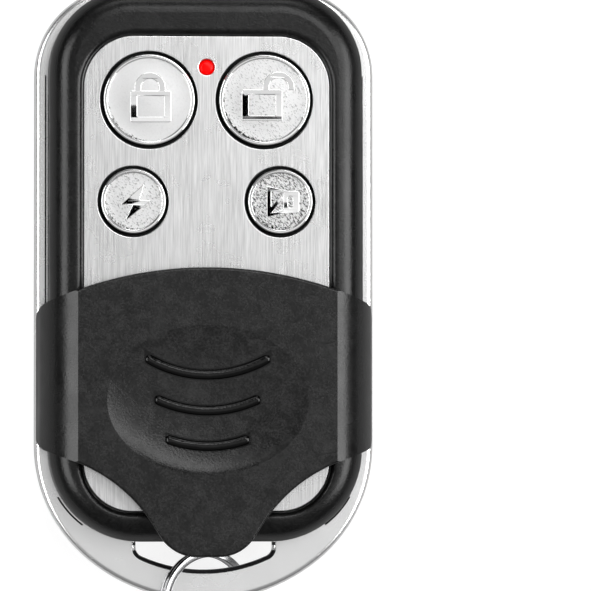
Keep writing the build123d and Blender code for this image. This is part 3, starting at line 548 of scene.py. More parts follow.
class MouldedGrain(Effect):
    """Fine spark-eroded grain with soft mottling, for moulded plastic.

    Height is fine noise of the grain's size. Mottle is coarser, slightly folded noise with
    a share of the fine noise. Both lie on turned axes.
    """

    title = "moulded grain"
    inputs = {"Vector": (0.0, 0.0, 0.0), "Grain Size": 0.15, "Mottle Size": 1.5}
    outputs = ("Height", "Mottle")
    axes: Place = (0.4, 0.3, 0.6)
    broad_range: Pair = (0.06, 0.94)
    fine_share: float = 0.9

    @classmethod
    def work_out(cls, graph: Graph, given: Sockets) -> dict[str, Socket]:
        """Two noises, and their sum.

        Args:
            graph: the group's graph.
            given: the group's inputs.

        Returns:
            Output name to the socket that feeds it.
        """
        place = graph.add("Mapping", {"Vector": given["Vector"], "Rotation": cls.axes}).outputs[0]
        fine = graph.math("DIVIDE", 1.0, given["Grain Size"])
        coarse = graph.math("DIVIDE", 1.0, given["Mottle Size"])
        height = graph.noise(place, fine, detail=2.0, roughness=0.55)
        broad = graph.noise(place, coarse, detail=4.0, roughness=0.68, distortion=0.6)
        broad = graph.ramp(broad, 0.0, 1.0, *cls.broad_range)
        mottle = graph.math("MULTIPLY_ADD", graph.math("SUBTRACT", height, 0.5),
                            cls.fine_share, broad)
        return {"Height": height, "Mottle": mottle}


class BlastedSpecks(Effect):
    """Slanting specks of a coarsely blasted surface.

    The vector is turned and stretched, so that the specks slant down to the right, and
    feeds noise, which is Height. Speck is one where the noise is above a threshold.
    """

    title = "blasted specks"
    inputs = {"Vector": (0.0, 0.0, 0.0), "Speck Size": 0.2, "Threshold": 0.55}
    outputs = ("Height", "Speck")
    slant: Place = (0.0, 0.0, -0.8)
    stretch: Place = (2.2, 1.0, 1.0)
    fade: float = 0.05

    @classmethod
    def work_out(cls, graph: Graph, given: Sockets) -> dict[str, Socket]:
        """Slanted noise, and the part of it above the threshold.

        Args:
            graph: the group's graph.
            given: the group's inputs.

        Returns:
            Output name to the socket that feeds it.
        """
        slanted = graph.add("Mapping", {"Vector": given["Vector"], "Rotation": cls.slant,
                                        "Scale": cls.stretch}, vector_type="TEXTURE").outputs[0]
        scale = graph.math("DIVIDE", 1.0, given["Speck Size"])
        height = graph.noise(slanted, scale, detail=3.0, roughness=0.6, distortion=0.4)
        above = graph.math("SUBTRACT", height, given["Threshold"])
        return {"Height": height, "Speck": graph.ramp(above, 0.0, cls.fade)}


class DrawnLines(Effect):
    """Fine lines along one direction, for brushed or drawn metal.

    The vector is divided by the line size, small across the lines and long along them,
    and feeds noise. Lines are the fine share and Bands the broad share.
    """

    title = "drawn lines"
    inputs = {"Vector": (0.0, 0.0, 0.0), "Line Size": (0.1, 10.0, 0.1)}
    outputs = ("Lines", "Bands")
    band_scale: float = 0.22

    @classmethod
    def work_out(cls, graph: Graph, given: Sockets) -> dict[str, Socket]:
        """Stretched noise at two scales.

        Args:
            graph: the group's graph.
            given: the group's inputs.

        Returns:
            Output name to the socket that feeds it.
        """
        stretched = graph.add("VectorMath", {0: given["Vector"], 1: given["Line Size"]},
                              operation="DIVIDE").outputs[0]
        return {"Lines": graph.noise(stretched, 1.0, detail=3.0, roughness=0.6),
                "Bands": graph.noise(stretched, cls.band_scale, detail=2.0)}


class HandlingMarks(Effect):
    """Faint smudges and hairline scratches from handling.

    Smudge is broad noise. Scratch is a thin band of stretched noise near its middle.
    """

    title = "handling marks"
    inputs = {"Vector": (0.0, 0.0, 0.0), "Spread": 6.0}
    outputs = ("Smudge", "Scratch")
    slant: Place = (0.2, 0.1, 0.7)
    stretch: Place = (0.12, 2.2, 0.6)
    hairline: float = 0.006

    @classmethod
    def work_out(cls, graph: Graph, given: Sockets) -> dict[str, Socket]:
        """Broad noise, and a line where slanted noise passes its middle.

        Args:
            graph: the group's graph.
            given: the group's inputs.

        Returns:
            Output name to the socket that feeds it.
        """
        scale = graph.math("DIVIDE", 1.0, given["Spread"])
        smudge = graph.noise(given["Vector"], scale, detail=3.0, roughness=0.6)
        slanted = graph.add("Mapping", {"Vector": given["Vector"], "Rotation": cls.slant,
                                        "Scale": cls.stretch}).outputs[0]
        line = graph.noise(slanted, 1.0, detail=2.0, distortion=0.4)
        scratch = graph.ramp(graph.away(line, 0.5), 0.0, cls.hairline, 1.0, 0.0)
        return {"Smudge": smudge, "Scratch": scratch}


# Finishes

class Grain(Enum):
    """Direction of the lines in a metal, as the lines' size in millimetres."""

    LENGTHWISE = (0.12, 3.5, 0.12)
    UPRIGHT = (0.12, 0.12, 8.0)
    ALONG_WIRE = (6.0, 0.16, 1.0)
    NONE = (3.0, 3.0, 3.0)


@dataclass(frozen=True)
class Finish:
    """One surface finish, built once as a material and then shared."""

    name: str
    colour: Colour
    roughness: float

    def material(self) -> bpy.types.Material:
        """Build the finish's material on first use.

        Returns:
            The material.
        """
        title = self.name + "_finish"
        if title in bpy.data.materials:
            return bpy.data.materials[title]
        made, graph, shader = new_material(title, self.colour)
        shader.inputs["Roughness"].default_value = self.roughness
        self.dress(graph, shader)
        return made

    def dress(self, graph: Graph, shader: bpy.types.Node) -> None:
        """Add the finish's detail to the tree; each kind of finish has its own."""
        raise NotImplementedError

    @staticmethod
    def millimetres(graph: Graph) -> Socket:
        """The object's own coordinates in millimetres."""
        own = graph.add("TexCoord").outputs["Object"]
        return graph.add("VectorMath", {0: own, "Scale": PER_MM}, operation="SCALE").outputs[0]

    @staticmethod
    def smudged(graph: Graph, marks: Sockets, low: float, high: float) -> Socket:
        """Roughness between two values, by the smudges of the handling marks."""
        return graph.ramp(marks["Smudge"], *SMUDGE_RANGE, low, high)

    @staticmethod
    def bump(graph: Graph, shader: bpy.types.Node, height: Socket, depth: float) -> None:
        """Feed a height, whose full range is depth in millimetres, to the shader's normal."""
        bump = graph.add("Bump", {"Strength": 1.0, "Distance": depth * MM, "Height": height})
        graph.feed(shader, {"Normal": bump.outputs["Normal"]})


@dataclass(frozen=True)
class Moulded(Finish):
    """Moulded plastic or ceramic: fine grain, soft mottling and a few marks.

    The two slopes are ranges of the normal's upright share, over which the painted shade of
    steep sides and their extra roughness fade out.
    """

    light: Colour = (0.03, 0.03, 0.032)
    grain_size: float = 0.16
    grain_depth: float = 0.006
    mottle_size: float = 1.6
    mottle_range: Pair = (0.3, 0.7)
    smudge_size: float = 7.0
    roughness_spread: float = 0.1
    scratch_roughness: float = 0.05
    painted_shade_slope: Pair = (0.6, 0.95)
    shaded_side_tone: float = 1.0
    matt_slope: Pair = (0.3, 0.7)
    side_roughness: float = 0.2
    specular: float = 0.4

    def dress(self, graph: Graph, shader: bpy.types.Node) -> None:
        """Mottle moves the colour, the grain makes the bump, and steep sides are rougher and
        darkened with painted shade.

        Args:
            graph: the material's graph.
            shader: the material's shader node.
        """
        place = self.millimetres(graph)
        grain = MouldedGrain.placed(graph, {
            "Vector": place, "Grain Size": self.grain_size, "Mottle Size": self.mottle_size})
        marks = HandlingMarks.placed(graph, {"Vector": place, "Spread": self.smudge_size})
        normal = graph.add("TexCoord").outputs["Normal"]
        upright = graph.math("ABSOLUTE", graph.split(normal)["Z"])
        # steep sides take a darker tone: painted shade
        tone = graph.product(graph.ramp(grain["Mottle"], *self.mottle_range),
                             graph.ramp(upright, *self.painted_shade_slope, self.shaded_side_tone, 1.0))
        half = self.roughness_spread / 2
        spread = self.smudged(graph, marks, self.roughness - half, self.roughness + half)
        scuffed = graph.math("MULTIPLY_ADD", marks["Scratch"], self.scratch_roughness, spread)
        matt = graph.ramp(upright, *self.matt_slope, self.side_roughness, 0.0)
        graph.feed(shader, {"Base Color": graph.blend(tone, self.colour, self.light),
                            "Roughness": graph.math("ADD", scuffed, matt),
                            "Specular IOR Level": self.specular})
        self.bump(graph, shader, grain["Height"], self.grain_depth)


@dataclass(frozen=True)
class RibbedMoulding(Moulded):
    """Cover's moulding, whose grip ribs are polished, and darker without mottle as painted shade.

    Each rib is an arc about a centre above its lowest point, given as the place of that
    point along the cover and half the arc's chord.
    """

    ribs: tuple[Pair, ...] = ((-8.13, 5.78), (-11.67, 4.82), (-15.18, 3.74))
    rib_bend: float = 11.7
    rib_half_width: float = 0.56
    rib_fade: float = 0.1
    rib_end: float = 0.5
    polish: float = 0.55

    def dress(self, graph: Graph, shader: bpy.types.Node) -> None:
        """Moulding as elsewhere, then less roughness on the ribs, and no mottle there as painted
        shade.

        Args:
            graph: the material's graph.
            shader: the material's shader node.
        """
        super().dress(graph, shader)
        mottled = shader.inputs["Base Color"].links[0].from_socket
        rough = shader.inputs["Roughness"].links[0].from_socket
        rib = self.rib_mask(graph)
        share = graph.math("MULTIPLY_ADD", rib, -self.polish, 1.0)
        # the ribs lose the mottle's lighter tone: painted shade
        graph.feed(shader, {"Base Color": graph.blend(rib, mottled, self.colour),
                            "Roughness": graph.product(rough, share)})

    def rib_mask(self, graph: Graph) -> Socket:
        """One on the ribs: close to an arc and within its chord.

        Args:
            graph: the material's graph.

        Returns:
            The mask.
        """
        place = graph.split(self.millimetres(graph))
        across = graph.math("ABSOLUTE", place["X"])
        flat = graph.add("CombineXYZ", {"X": place["X"], "Y": place["Y"]}).outputs[0]
        mask: Socket | float = 0.0
        for low, half_chord in self.ribs:
            reach = graph.add("VectorMath", {0: flat, 1: (0.0, low + self.rib_bend, 0.0)},
                              operation="DISTANCE").outputs["Value"]
            near = graph.ramp(graph.away(reach, self.rib_bend), self.rib_half_width,
                              self.rib_half_width + self.rib_fade, 1.0, 0.0)
            within = graph.math("LESS_THAN", across, half_chord + self.rib_end)
            mask = graph.math("MAXIMUM", mask, graph.product(near, within))
        return mask


@dataclass(frozen=True)
class Metal(Finish):
    """Bare or plated metal with drawn lines and handling marks.

    The tones span the noise's middle by the tone reach over the contrast on each side.
    """

    shade: Colour = (0.6, 0.6, 0.6)
    grain: Grain = Grain.NONE
    line_depth: float = 0.0005
    line_share: float = 0.8
    tone_reach: float = 0.25
    contrast: float = 1.0
    smudge_size: float = 6.0
    roughness_spread: float = 0.04
    scratch_roughness: float = 0.01

    def dress(self, graph: Graph, shader: bpy.types.Node) -> None:
        """Lines move the colour and bump; smudges and scratches move the roughness.

        Args:
            graph: the material's graph.
            shader: the material's shader node.
        """
        lines = DrawnLines.placed(graph, {
            "Vector": self.line_place(graph), "Line Size": self.grain.value})
        marks = HandlingMarks.placed(graph, {
            "Vector": self.millimetres(graph), "Spread": self.smudge_size})
        both = graph.math("ADD", graph.product(lines["Lines"], self.line_share),
                          graph.product(lines["Bands"], 1 - self.line_share))
        reach = self.tone_reach / self.contrast
        tone = graph.ramp(both, 0.5 - reach, 0.5 + reach)
        spread = self.smudged(graph, marks, self.roughness,
                              self.roughness + self.roughness_spread)
        scuffed = graph.math("MULTIPLY_ADD", marks["Scratch"], self.scratch_roughness, spread)
        graph.feed(shader, {"Base Color": graph.blend(tone, self.shade, self.colour),
                            "Roughness": scuffed, "Metallic": 1.0})
        self.bump(graph, shader, lines["Lines"], self.line_depth)

    def line_place(self, graph: Graph) -> Socket:
        """Coordinates that the lines follow: along the wire by UV, or the object's own.

        Args:
            graph: the material's graph.

        Returns:
            The coordinates, in millimetres.
        """
        if self.grain is Grain.ALONG_WIRE:
            return graph.add("TexCoord").outputs["UV"]
        return self.millimetres(graph)


@dataclass(frozen=True)
class ShellPlating(Metal):
    """Satin plating whose fine grooves are painted dark, as painted shade.

    A groove is told by its place: a straight band beside each side, and an arc round each
    lower corner of the frame, both below the deck. The lower edge of the key slot is painted
    dark too where it is rounded, as a painted dark reflection. Pairs are the lower and upper
    limits.
    """

    painted_dark: Colour = (0.012, 0.012, 0.013)
    groove_top: float = 5.98
    side_groove: Pair = (15.785, 16.005)
    side_ends: Pair = (-15.0, 22.0)
    corner_centre: Pair = (6.52, -15.66)
    corner_groove: Pair = (9.22, 9.54)
    corner_start: float = -19.5
    slot_half_width: float = 7.35
    slot_edge: Pair = (-28.6, -25.7)
    slot_wall: Pair = (5.5, 5.997)

    def dress(self, graph: Graph, shader: bpy.types.Node) -> None:
        """Plating as on other metal; painted shade and reflection are masked over its colour and
        metallic.

        Args:
            graph: the material's graph.
            shader: the material's shader node.
        """
        super().dress(graph, shader)
        plated = shader.inputs["Base Color"].links[0].from_socket
        place = graph.split(self.millimetres(graph))
        along, height = place["Y"], place["Z"]
        across = graph.math("ABSOLUTE", place["X"])
        side = graph.product(graph.between(across, *self.side_groove),
                             graph.between(along, *self.side_ends))
        from_x = graph.math("SUBTRACT", across, self.corner_centre[0])
        from_y = graph.math("SUBTRACT", along, self.corner_centre[1])
        squares = graph.math("MULTIPLY_ADD", from_x, from_x, graph.product(from_y, from_y))
        corner = graph.product(graph.between(graph.math("SQRT", squares), *self.corner_groove),
                               graph.math("LESS_THAN", along, self.corner_start))
        grooves = graph.product(graph.math("MAXIMUM", side, corner),
                                graph.math("LESS_THAN", height, self.groove_top))
        slot = graph.product(graph.math("LESS_THAN", across, self.slot_half_width),
                             graph.between(along, *self.slot_edge),
                             graph.between(height, *self.slot_wall))
        # painted shade in the grooves, and a painted dark reflection on the slot's rounded edge
        painted_dark_mask = graph.math("MAXIMUM", grooves, slot)
        graph.feed(shader, {"Base Color": graph.blend(painted_dark_mask, plated, self.painted_dark),
                            "Metallic": graph.math("SUBTRACT", 1.0, painted_dark_mask)})


@dataclass(frozen=True)
class ButtonPlating(Finish):
    """Plated cap: polished rim and sign, blasted field, and black below, as painted shade of the
    gap.

    In millimetres, the UV map holds each point's place about the button's centre, and the
    level attribute its height before the cap is crowned. Field edge and gap shade edge are
    the heights over which one finish gives way to the next; below the gap shade edge the cap
    is painted black as shade.
    """

    colour: Colour = (0.95, 0.95, 0.95)
    roughness: float = 0.02
    field_colour: Colour = (0.76, 0.76, 0.76)
    speck_colour: Colour = (0.7, 0.7, 0.7)
    pit_shade_colour: Colour = (0.012, 0.012, 0.012)
    painted_gap_shade: Colour = (0.003, 0.003, 0.003)
    field_roughness: float = 0.28
    gap_shade_roughness: float = 0.3
    smudge_size: float = 2.0
    roughness_spread: float = 0.015
    field_edge: Pair = (11.75, 11.79)
    gap_shade_edge: Pair = (11.39, 11.45)
    speck_size: float = 0.09
    speck_depth: float = 0.01
    speck_threshold: float = 0.55
    black_size: float = 0.9
    black_threshold: float = 0.78
    rim_shadow_specks: float = 0.26
    rim_shadow_centre: Place = (0.3, 0.34, 0.0)
    rim_shadow_width: float = 0.35
    field_radius: float = 4.12

    def dress(self, graph: Graph, shader: bpy.types.Node) -> None:
        """Height tells field, polish and the painted gap shade apart; dark specks thicken at the
        lower left as a painted shadow of the rim.

        The lower left is where the distance from a point a little up and to the right of
        the centre is largest.

        Args:
            graph: the material's graph.
            shader: the material's shader node.
        """
        place = self.millimetres(graph)
        height = graph.add("Attribute", attribute_name="level").outputs["Fac"]
        field = graph.ramp(height, *self.field_edge, 1.0, 0.0)
        gap_shade = graph.ramp(height, *self.gap_shade_edge, 1.0, 0.0)
        local = graph.add("TexCoord").outputs["UV"]
        away = graph.add("VectorMath", {0: local, 1: self.rim_shadow_centre},
                         operation="DISTANCE").outputs["Value"]
        # painted shadow of the rim: black specks grow thicker towards the lower left
        rim_shadow = graph.ramp(away, self.field_radius, self.field_radius + self.rim_shadow_width)
        fine = BlastedSpecks.placed(graph, {
            "Vector": place, "Speck Size": self.speck_size, "Threshold": self.speck_threshold})
        threshold = graph.math("MULTIPLY_ADD", rim_shadow, -self.rim_shadow_specks, self.black_threshold)
        # black specks: the blasted grain, with painted shade in its pits
        black = BlastedSpecks.placed(graph, {
            "Vector": place, "Speck Size": self.speck_size * self.black_size,
            "Threshold": threshold})
        blasted = graph.blend(fine["Speck"], self.field_colour, self.speck_colour)
        blasted = graph.blend(black["Speck"], blasted, self.pit_shade_colour)
        plated = graph.blend(field, self.colour, blasted)
        marks = HandlingMarks.placed(graph, {"Vector": place, "Spread": self.smudge_size})
        polished = self.smudged(graph, marks, self.roughness,
                                self.roughness + self.roughness_spread)
        extra = graph.product(field, self.field_roughness - self.roughness)
        extra = graph.math("MULTIPLY_ADD", gap_shade, self.gap_shade_roughness, extra)
        # black and not metallic below the gap shade edge: painted shade of the gap round the cap
        graph.feed(shader, {"Base Color": graph.blend(gap_shade, plated, self.painted_gap_shade),
                            "Metallic": graph.math("SUBTRACT", 1.0, gap_shade),
                            "Roughness": graph.math("ADD", polished, extra)})
        self.bump(graph, shader, graph.product(fine["Height"], field), self.speck_depth)


@dataclass(frozen=True)
class RedLight(Finish):
    """Clear red plastic that glows a little, with faint flow marks."""

    bright: Colour = (0.95, 0.0, 0.0)
    glow: float = 0.4
    specular: float = 0.15
    grain_size: float = 0.3
    grain_depth: float = 0.001
    flow_size: float = 0.6
    flow_range: Pair = (0.3, 0.7)

    def dress(self, graph: Graph, shader: bpy.types.Node) -> None:
        """Noise moves the depth of the red, and the surface is glossy.

        Args:
            graph: the material's graph.
            shader: the material's shader node.
        """
        grain = MouldedGrain.placed(graph, {
            "Vector": self.millimetres(graph), "Grain Size": self.grain_size,
            "Mottle Size": self.flow_size})
        tone = graph.ramp(grain["Mottle"], *self.flow_range)
        red = graph.blend(tone, self.colour, self.bright)
        graph.feed(shader, {"Base Color": red, "Emission Color": red,
                            "Emission Strength": self.glow, "Specular IOR Level": self.specular})
        self.bump(graph, shader, grain["Height"], self.grain_depth)


@dataclass(frozen=True)
class Laminate(Finish):
    """Circuit board: solder mask over copper tracks on glass cloth."""

    track: Colour = (0.012, 0.13, 0.055)
    track_scale: float = 0.42
    track_gap: float = 0.06
    track_offset: float = 0.37
    cloth_size: float = 0.4
    cloth_share: float = 0.4
    mottle_size: float = 2.0
    mottle_range: Pair = (0.3, 0.7)
    roughness_spread: float = 0.12
    relief: float = 0.02

    def dress(self, graph: Graph, shader: bpy.types.Node) -> None:
        """A brick pattern gives the tracks' outline, and fine grain the cloth.

        Args:
            graph: the material's graph.
            shader: the material's shader node.
        """
        place = self.millimetres(graph)
        tracks = graph.add("TexBrick", {"Vector": place, "Scale": self.track_scale,
                                        "Mortar Size": self.track_gap}, offset=self.track_offset)
        grain = MouldedGrain.placed(graph, {
            "Vector": place, "Grain Size": self.cloth_size, "Mottle Size": self.mottle_size})
        mask = graph.math("SUBTRACT", 1.0, tracks.outputs["Fac"])
        rough = graph.ramp(grain["Mottle"], *self.mottle_range, self.roughness,
                           self.roughness + self.roughness_spread)
        graph.feed(shader, {"Base Color": graph.blend(mask, self.colour, self.track),
                            "Roughness": rough})
        cloth = graph.product(grain["Height"], self.cloth_share)
        self.bump(graph, shader, graph.math("ADD", mask, cloth), self.relief)


@dataclass(frozen=True)
class CellJacket(Finish):
    """Printed jacket of the cell: two plain colours that meet near one end, scuffed."""

    second: Colour = (0.55, 0.38, 0.12)
    border: Pair = (5.95, 6.05)
    smudge_size: float = 3.0
    roughness_spread: float = 0.15
    scratch_depth: float = 0.004

    def dress(self, graph: Graph, shader: bpy.types.Node) -> None:
        """The object's X tells one colour from the other.

        Args:
            graph: the material's graph.
            shader: the material's shader node.
        """
        place = self.millimetres(graph)
        side = graph.ramp(graph.split(place)["X"], *self.border)
        marks = HandlingMarks.placed(graph, {"Vector": place, "Spread": self.smudge_size})
        rough = self.smudged(graph, marks, self.roughness,
                             self.roughness + self.roughness_spread)
        graph.feed(shader, {"Base Color": graph.blend(side, self.colour, self.second),
                            "Roughness": rough})
        self.bump(graph, shader, marks["Scratch"], self.scratch_depth)


BLACK_FRAME = Moulded("black_frame", grey(0.0), 0.28, light=grey(0.012), grain_size=0.2,
                      grain_depth=0.016, mottle_size=1.0, mottle_range=(0.34, 0.85),
                      shaded_side_tone=0.1, specular=0.36)
BLACK_COVER = RibbedMoulding("black_cover", grey(0.0), 0.24, light=grey(0.025), grain_size=0.2,
                             grain_depth=0.016, mottle_size=1.3, mottle_range=(0.34, 0.9),
                             shaded_side_tone=0.05)
PLATED_SHELL = ShellPlating("plated_shell", grey(0.93), 0.24, shade=grey(0.9),
                            line_depth=0.0002)
BRUSHED_PLATE = Metal("brushed_plate", grey(0.91), 0.26, shade=grey(0.64),
                      grain=Grain.LENGTHWISE, line_depth=0.003, contrast=1.7)
FINE_PLATING = ButtonPlating("fine_plating")
SPECKLED_PLATING = ButtonPlating("speckled_plating", speck_size=0.11, speck_colour=grey(0.4),
                                 speck_depth=0.018, speck_threshold=0.57, black_threshold=0.7)
SMALL_PLATING = ButtonPlating("small_plating", field_radius=2.81, speck_size=0.11,
                              speck_colour=grey(0.36), speck_depth=0.02, speck_threshold=0.56,
                              black_threshold=0.69, rim_shadow_specks=0.2)
COARSE_PLATING = ButtonPlating("coarse_plating", field_radius=2.81, speck_size=0.13,
                               speck_colour=grey(0.14), speck_depth=0.026, speck_threshold=0.53,
                               black_threshold=0.56, rim_shadow_specks=0.1)
RING_STEEL = Metal("ring_steel", (0.7, 0.7, 0.71), 0.15, shade=(0.14, 0.14, 0.145),
                   grain=Grain.ALONG_WIRE, line_depth=0.004, contrast=1.5)
RED_LIGHT = RedLight("red_light", (0.72, 0.0, 0.0), 0.2)
SCREW_STEEL = Metal("screw_steel", (0.5, 0.5, 0.52), 0.25, shade=(0.36, 0.36, 0.38),
                    line_depth=0.002, contrast=1.5)
TINNED_METAL = Metal("tinned_metal", grey(0.72), 0.32, shade=(0.55, 0.55, 0.56),
                     line_depth=0.003, contrast=1.4)
SPRUNG_CONTACT = Metal("sprung_contact", (0.74, 0.7, 0.62), 0.22, shade=(0.6, 0.56, 0.48),
                       grain=Grain.UPRIGHT, line_depth=0.002)
DOME_STEEL = Metal("dome_steel", (0.66, 0.66, 0.67), 0.18, shade=(0.55, 0.55, 0.56),
                   line_depth=0.001)
BOARD_LAMINATE = Laminate("board_laminate", (0.006, 0.085, 0.035), 0.32)
BATTERY_JACKET = CellJacket("battery_jacket", (0.02, 0.02, 0.022), 0.28)
SWITCH_MOULDING = Moulded("switch_moulding", (0.012, 0.012, 0.013), 0.5,
                          light=(0.02, 0.02, 0.021), grain_size=0.1)
CHIP_MOULDING = Moulded("chip_moulding", (0.014, 0.014, 0.015), 0.55,
                        light=(0.026, 0.026, 0.027), grain_size=0.08, grain_depth=0.005)
COIL_MOULDING = Moulded("coil_moulding", (0.03, 0.1, 0.06), 0.4, light=(0.05, 0.15, 0.09),
                        grain_size=0.2)
TRIMMER_BODY = Moulded("trimmer_body", (0.32, 0.05, 0.04), 0.4, light=(0.42, 0.09, 0.07),
                       grain_size=0.2)
RESISTOR_BODY = Moulded("resistor_body", (0.02, 0.02, 0.025), 0.35, light=(0.05, 0.05, 0.06),
                        grain_size=0.1, mottle_size=0.6)
CAPACITOR_BODY = Moulded("capacitor_body", (0.28, 0.17, 0.09), 0.4, light=(0.4, 0.26, 0.15),
                         grain_size=0.1, mottle_size=0.6)
WHITE_CERAMIC = Moulded("white_ceramic", (0.7, 0.7, 0.68), 0.35, light=(0.82, 0.82, 0.8),
                        grain_size=0.1, mottle_size=0.6)


def dress_nodes(finish: Finish, *nodes: str) -> None:
    """Give construction nodes a finish in their own material slots.

    Args:
        finish: the finish.
        nodes: names of the nodes.
    """
    for name in nodes:
        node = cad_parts[name]
        if not node.material_slots:
            node.data.materials.append(None)
        for slot in node.material_slots:
            slot.material = finish.material()
        log.info("%s: %s", name, finish.name)


def fit(piece: bpy.types.Object, body: str, slot: str, *nodes: str) -> None:
    """Let a new piece ride on a body and stand for its nodes, which are hidden.

    Args:
        piece: the new piece.
        body: the body that moves it.
        slot: not used.
        nodes: names of the nodes it replaces.
    """
    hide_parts(*nodes)
    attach(piece, body)
    log.info("%s: made, %d faces", piece.name, len(piece.data.polygons))


# Sub-assemblies

@dataclass
class FacePlate:
    """Brushed plate with softened edges round its outline and its holes."""

    half_width: float = 12.26
    low_end: float = -21.71
    top_end: float = 25.56
    low_radius: float = 4.91
    top_radius: float = 5.11
    underside: float = 10.75
    face: float = 11.15
    edge: float = 0.13

    def build(self, holes: list[tuple[Pair, float]]) -> bpy.types.Object:
        """Make the plate.

        Args:
            holes: centre and radius of each hole.

        Returns:
            The plate.
        """
        corners = box_corners(-self.half_width, self.low_end, self.half_width, self.top_end)
        radii = [self.low_radius, self.low_radius, self.top_radius, self.top_radius]
        loops = [rounded_path(corners, radii, steps=24)]
        loops += [circle(place, radius) for place, radius in holes]
        surface = Surface("brushed_face_plate")
        surface.add_slab(loops, self.underside, self.face, self.edge)
        return surface.make(BRUSHED_PLATE.material(), FLAT_FACE_ANGLE)


@dataclass
class Case:
    """Plated back shell, black front frame, face plate and the case screws."""

    plate: FacePlate
    holes: list[tuple[Pair, float]]

    def build(self) -> None:
        """Dress the shell, frame and screws, and make the plate."""
        dress_nodes(PLATED_SHELL, "back_shell")
        dress_nodes(BLACK_FRAME, "front_frame")
        dress_nodes(SCREW_STEEL, "case_screws")
        fit(self.plate.build(self.holes), "case", "brushed_plate", "face_plate")


@dataclass
class SlidingCover:
    """Black cover with its thumb hollow, grip ribs and hooks."""

    def build(self) -> None:
        """Dress the cover."""
        dress_nodes(BLACK_COVER, "slide_cover")


class ButtonSize(Enum):
    """The two sizes of button: cap, hole and flange radius."""

    LARGE = (4.5, 4.825, 5.3)
    SMALL = (3.19, 3.5, 3.9)

    def __init__(self, cap: float, hole: float, flange: float) -> None:
        """Name the three radii.

        Args:
            cap: radius of the cap.
            hole: radius of the hole in the plate.
            flange: radius of the flange.
        """
        self.cap = cap
        self.hole = hole
        self.flange = flange


@dataclass
class Button:
    """Plated button: skirt, flange, post, polished rim, blasted field and raised sign."""

    name: str
    place: Pair
    size: ButtonSize
    sign: list[Slab]
    plating: ButtonPlating
    lean: float
    crown_radius: float = 120.0
    top: float = 11.85
    field_depth: float = 0.12
    rim_width: float = 0.38
    rim_slope: float = 0.05
    rim_round: float = 0.1
    field_round: float = 0.06
    edge_round: float = 0.08
    flange_top: float = 9.7
    flange_low: float = 9.1
    flange_round: float = 0.15
    crown_low: float = 10.9
    skirt_wall: float = 0.8
    inside_round: float = 0.2
    post_radius: float = 1.5
    post_low: float = 8.7
    post_round: float = 0.1
    sign_edge: float = 0.04
    sign_sink: float = 0.05
    sign_spacing: float = 0.25

    @property
    def field(self) -> float:
        """Height of the sunk field."""
        return self.top - self.field_depth

    def profile(self) -> np.ndarray:
        """Half section from the field's middle, down the outside and in to the post's foot.

        Returns:
            Pairs of radius and height.
        """
        cap, flange = self.size.cap, self.size.flange
        inner_rim = cap - self.rim_width
        inside = cap - self.skirt_wall
        return rounded_profile([
            (0, self.field, 0), (inner_rim / 3, self.field, 0), (inner_rim * 2 / 3, self.field, 0),
            (inner_rim, self.field, self.field_round),
            (inner_rim + self.rim_slope, self.top, self.edge_round),
            (cap, self.top, self.rim_round), (cap, self.flange_top, self.flange_round),
            (flange, self.flange_top, self.edge_round), (flange, self.flange_low, self.edge_round),
            (inside, self.flange_low, self.edge_round),
            (inside, self.crown_low, self.inside_round),
            (self.post_radius, self.crown_low, self.inside_round),
            (self.post_radius, self.post_low, self.post_round), (0, self.post_low, 0)], steps=6)

    def settle(self, points: np.ndarray) -> np.ndarray:
        """Crown the cap and lean it a little, as it sits on its switch.

        A point's height falls by the square of its distance from the centre over twice the
        crown's radius, and changes by the lean times its X from there. Both fade out from
        the top down to the flange.

        Args:
            points: points of the cap or the sign.

        Returns:
            The moved points.
        """
        local = points[:, :2] - np.array(self.place)
        share = np.clip((points[:, 2] - self.flange_top) / (self.top - self.flange_top), 0, 1)
        change = local[:, 0] * self.lean - (local ** 2).sum(1) / (2 * self.crown_radius)
        return np.column_stack([points[:, :2], points[:, 2] + share * change])

    def build(self) -> None:
        """Make the cap with its sign and put it on its body."""
        surface = Surface(self.name + "_cap")
        surface.add_turning(self.profile(), self.place)
        for loops in self.sign:
            moved = [dense(loop, self.sign_spacing) + np.array(self.place) for loop in loops]
            surface.add_slab(moved, self.field - self.sign_sink, self.top, self.sign_edge)
        level = np.concatenate(surface.points)[:, 2]
        surface.uvs = [points[:, :2] - np.array(self.place) for points in surface.points]
        surface.points = [self.settle(points) for points in surface.points]
        piece = surface.make(self.plating.material(), FLAT_FACE_ANGLE, level)
        fit(piece, self.name + "_key", "plated_button", self.name + "_button")


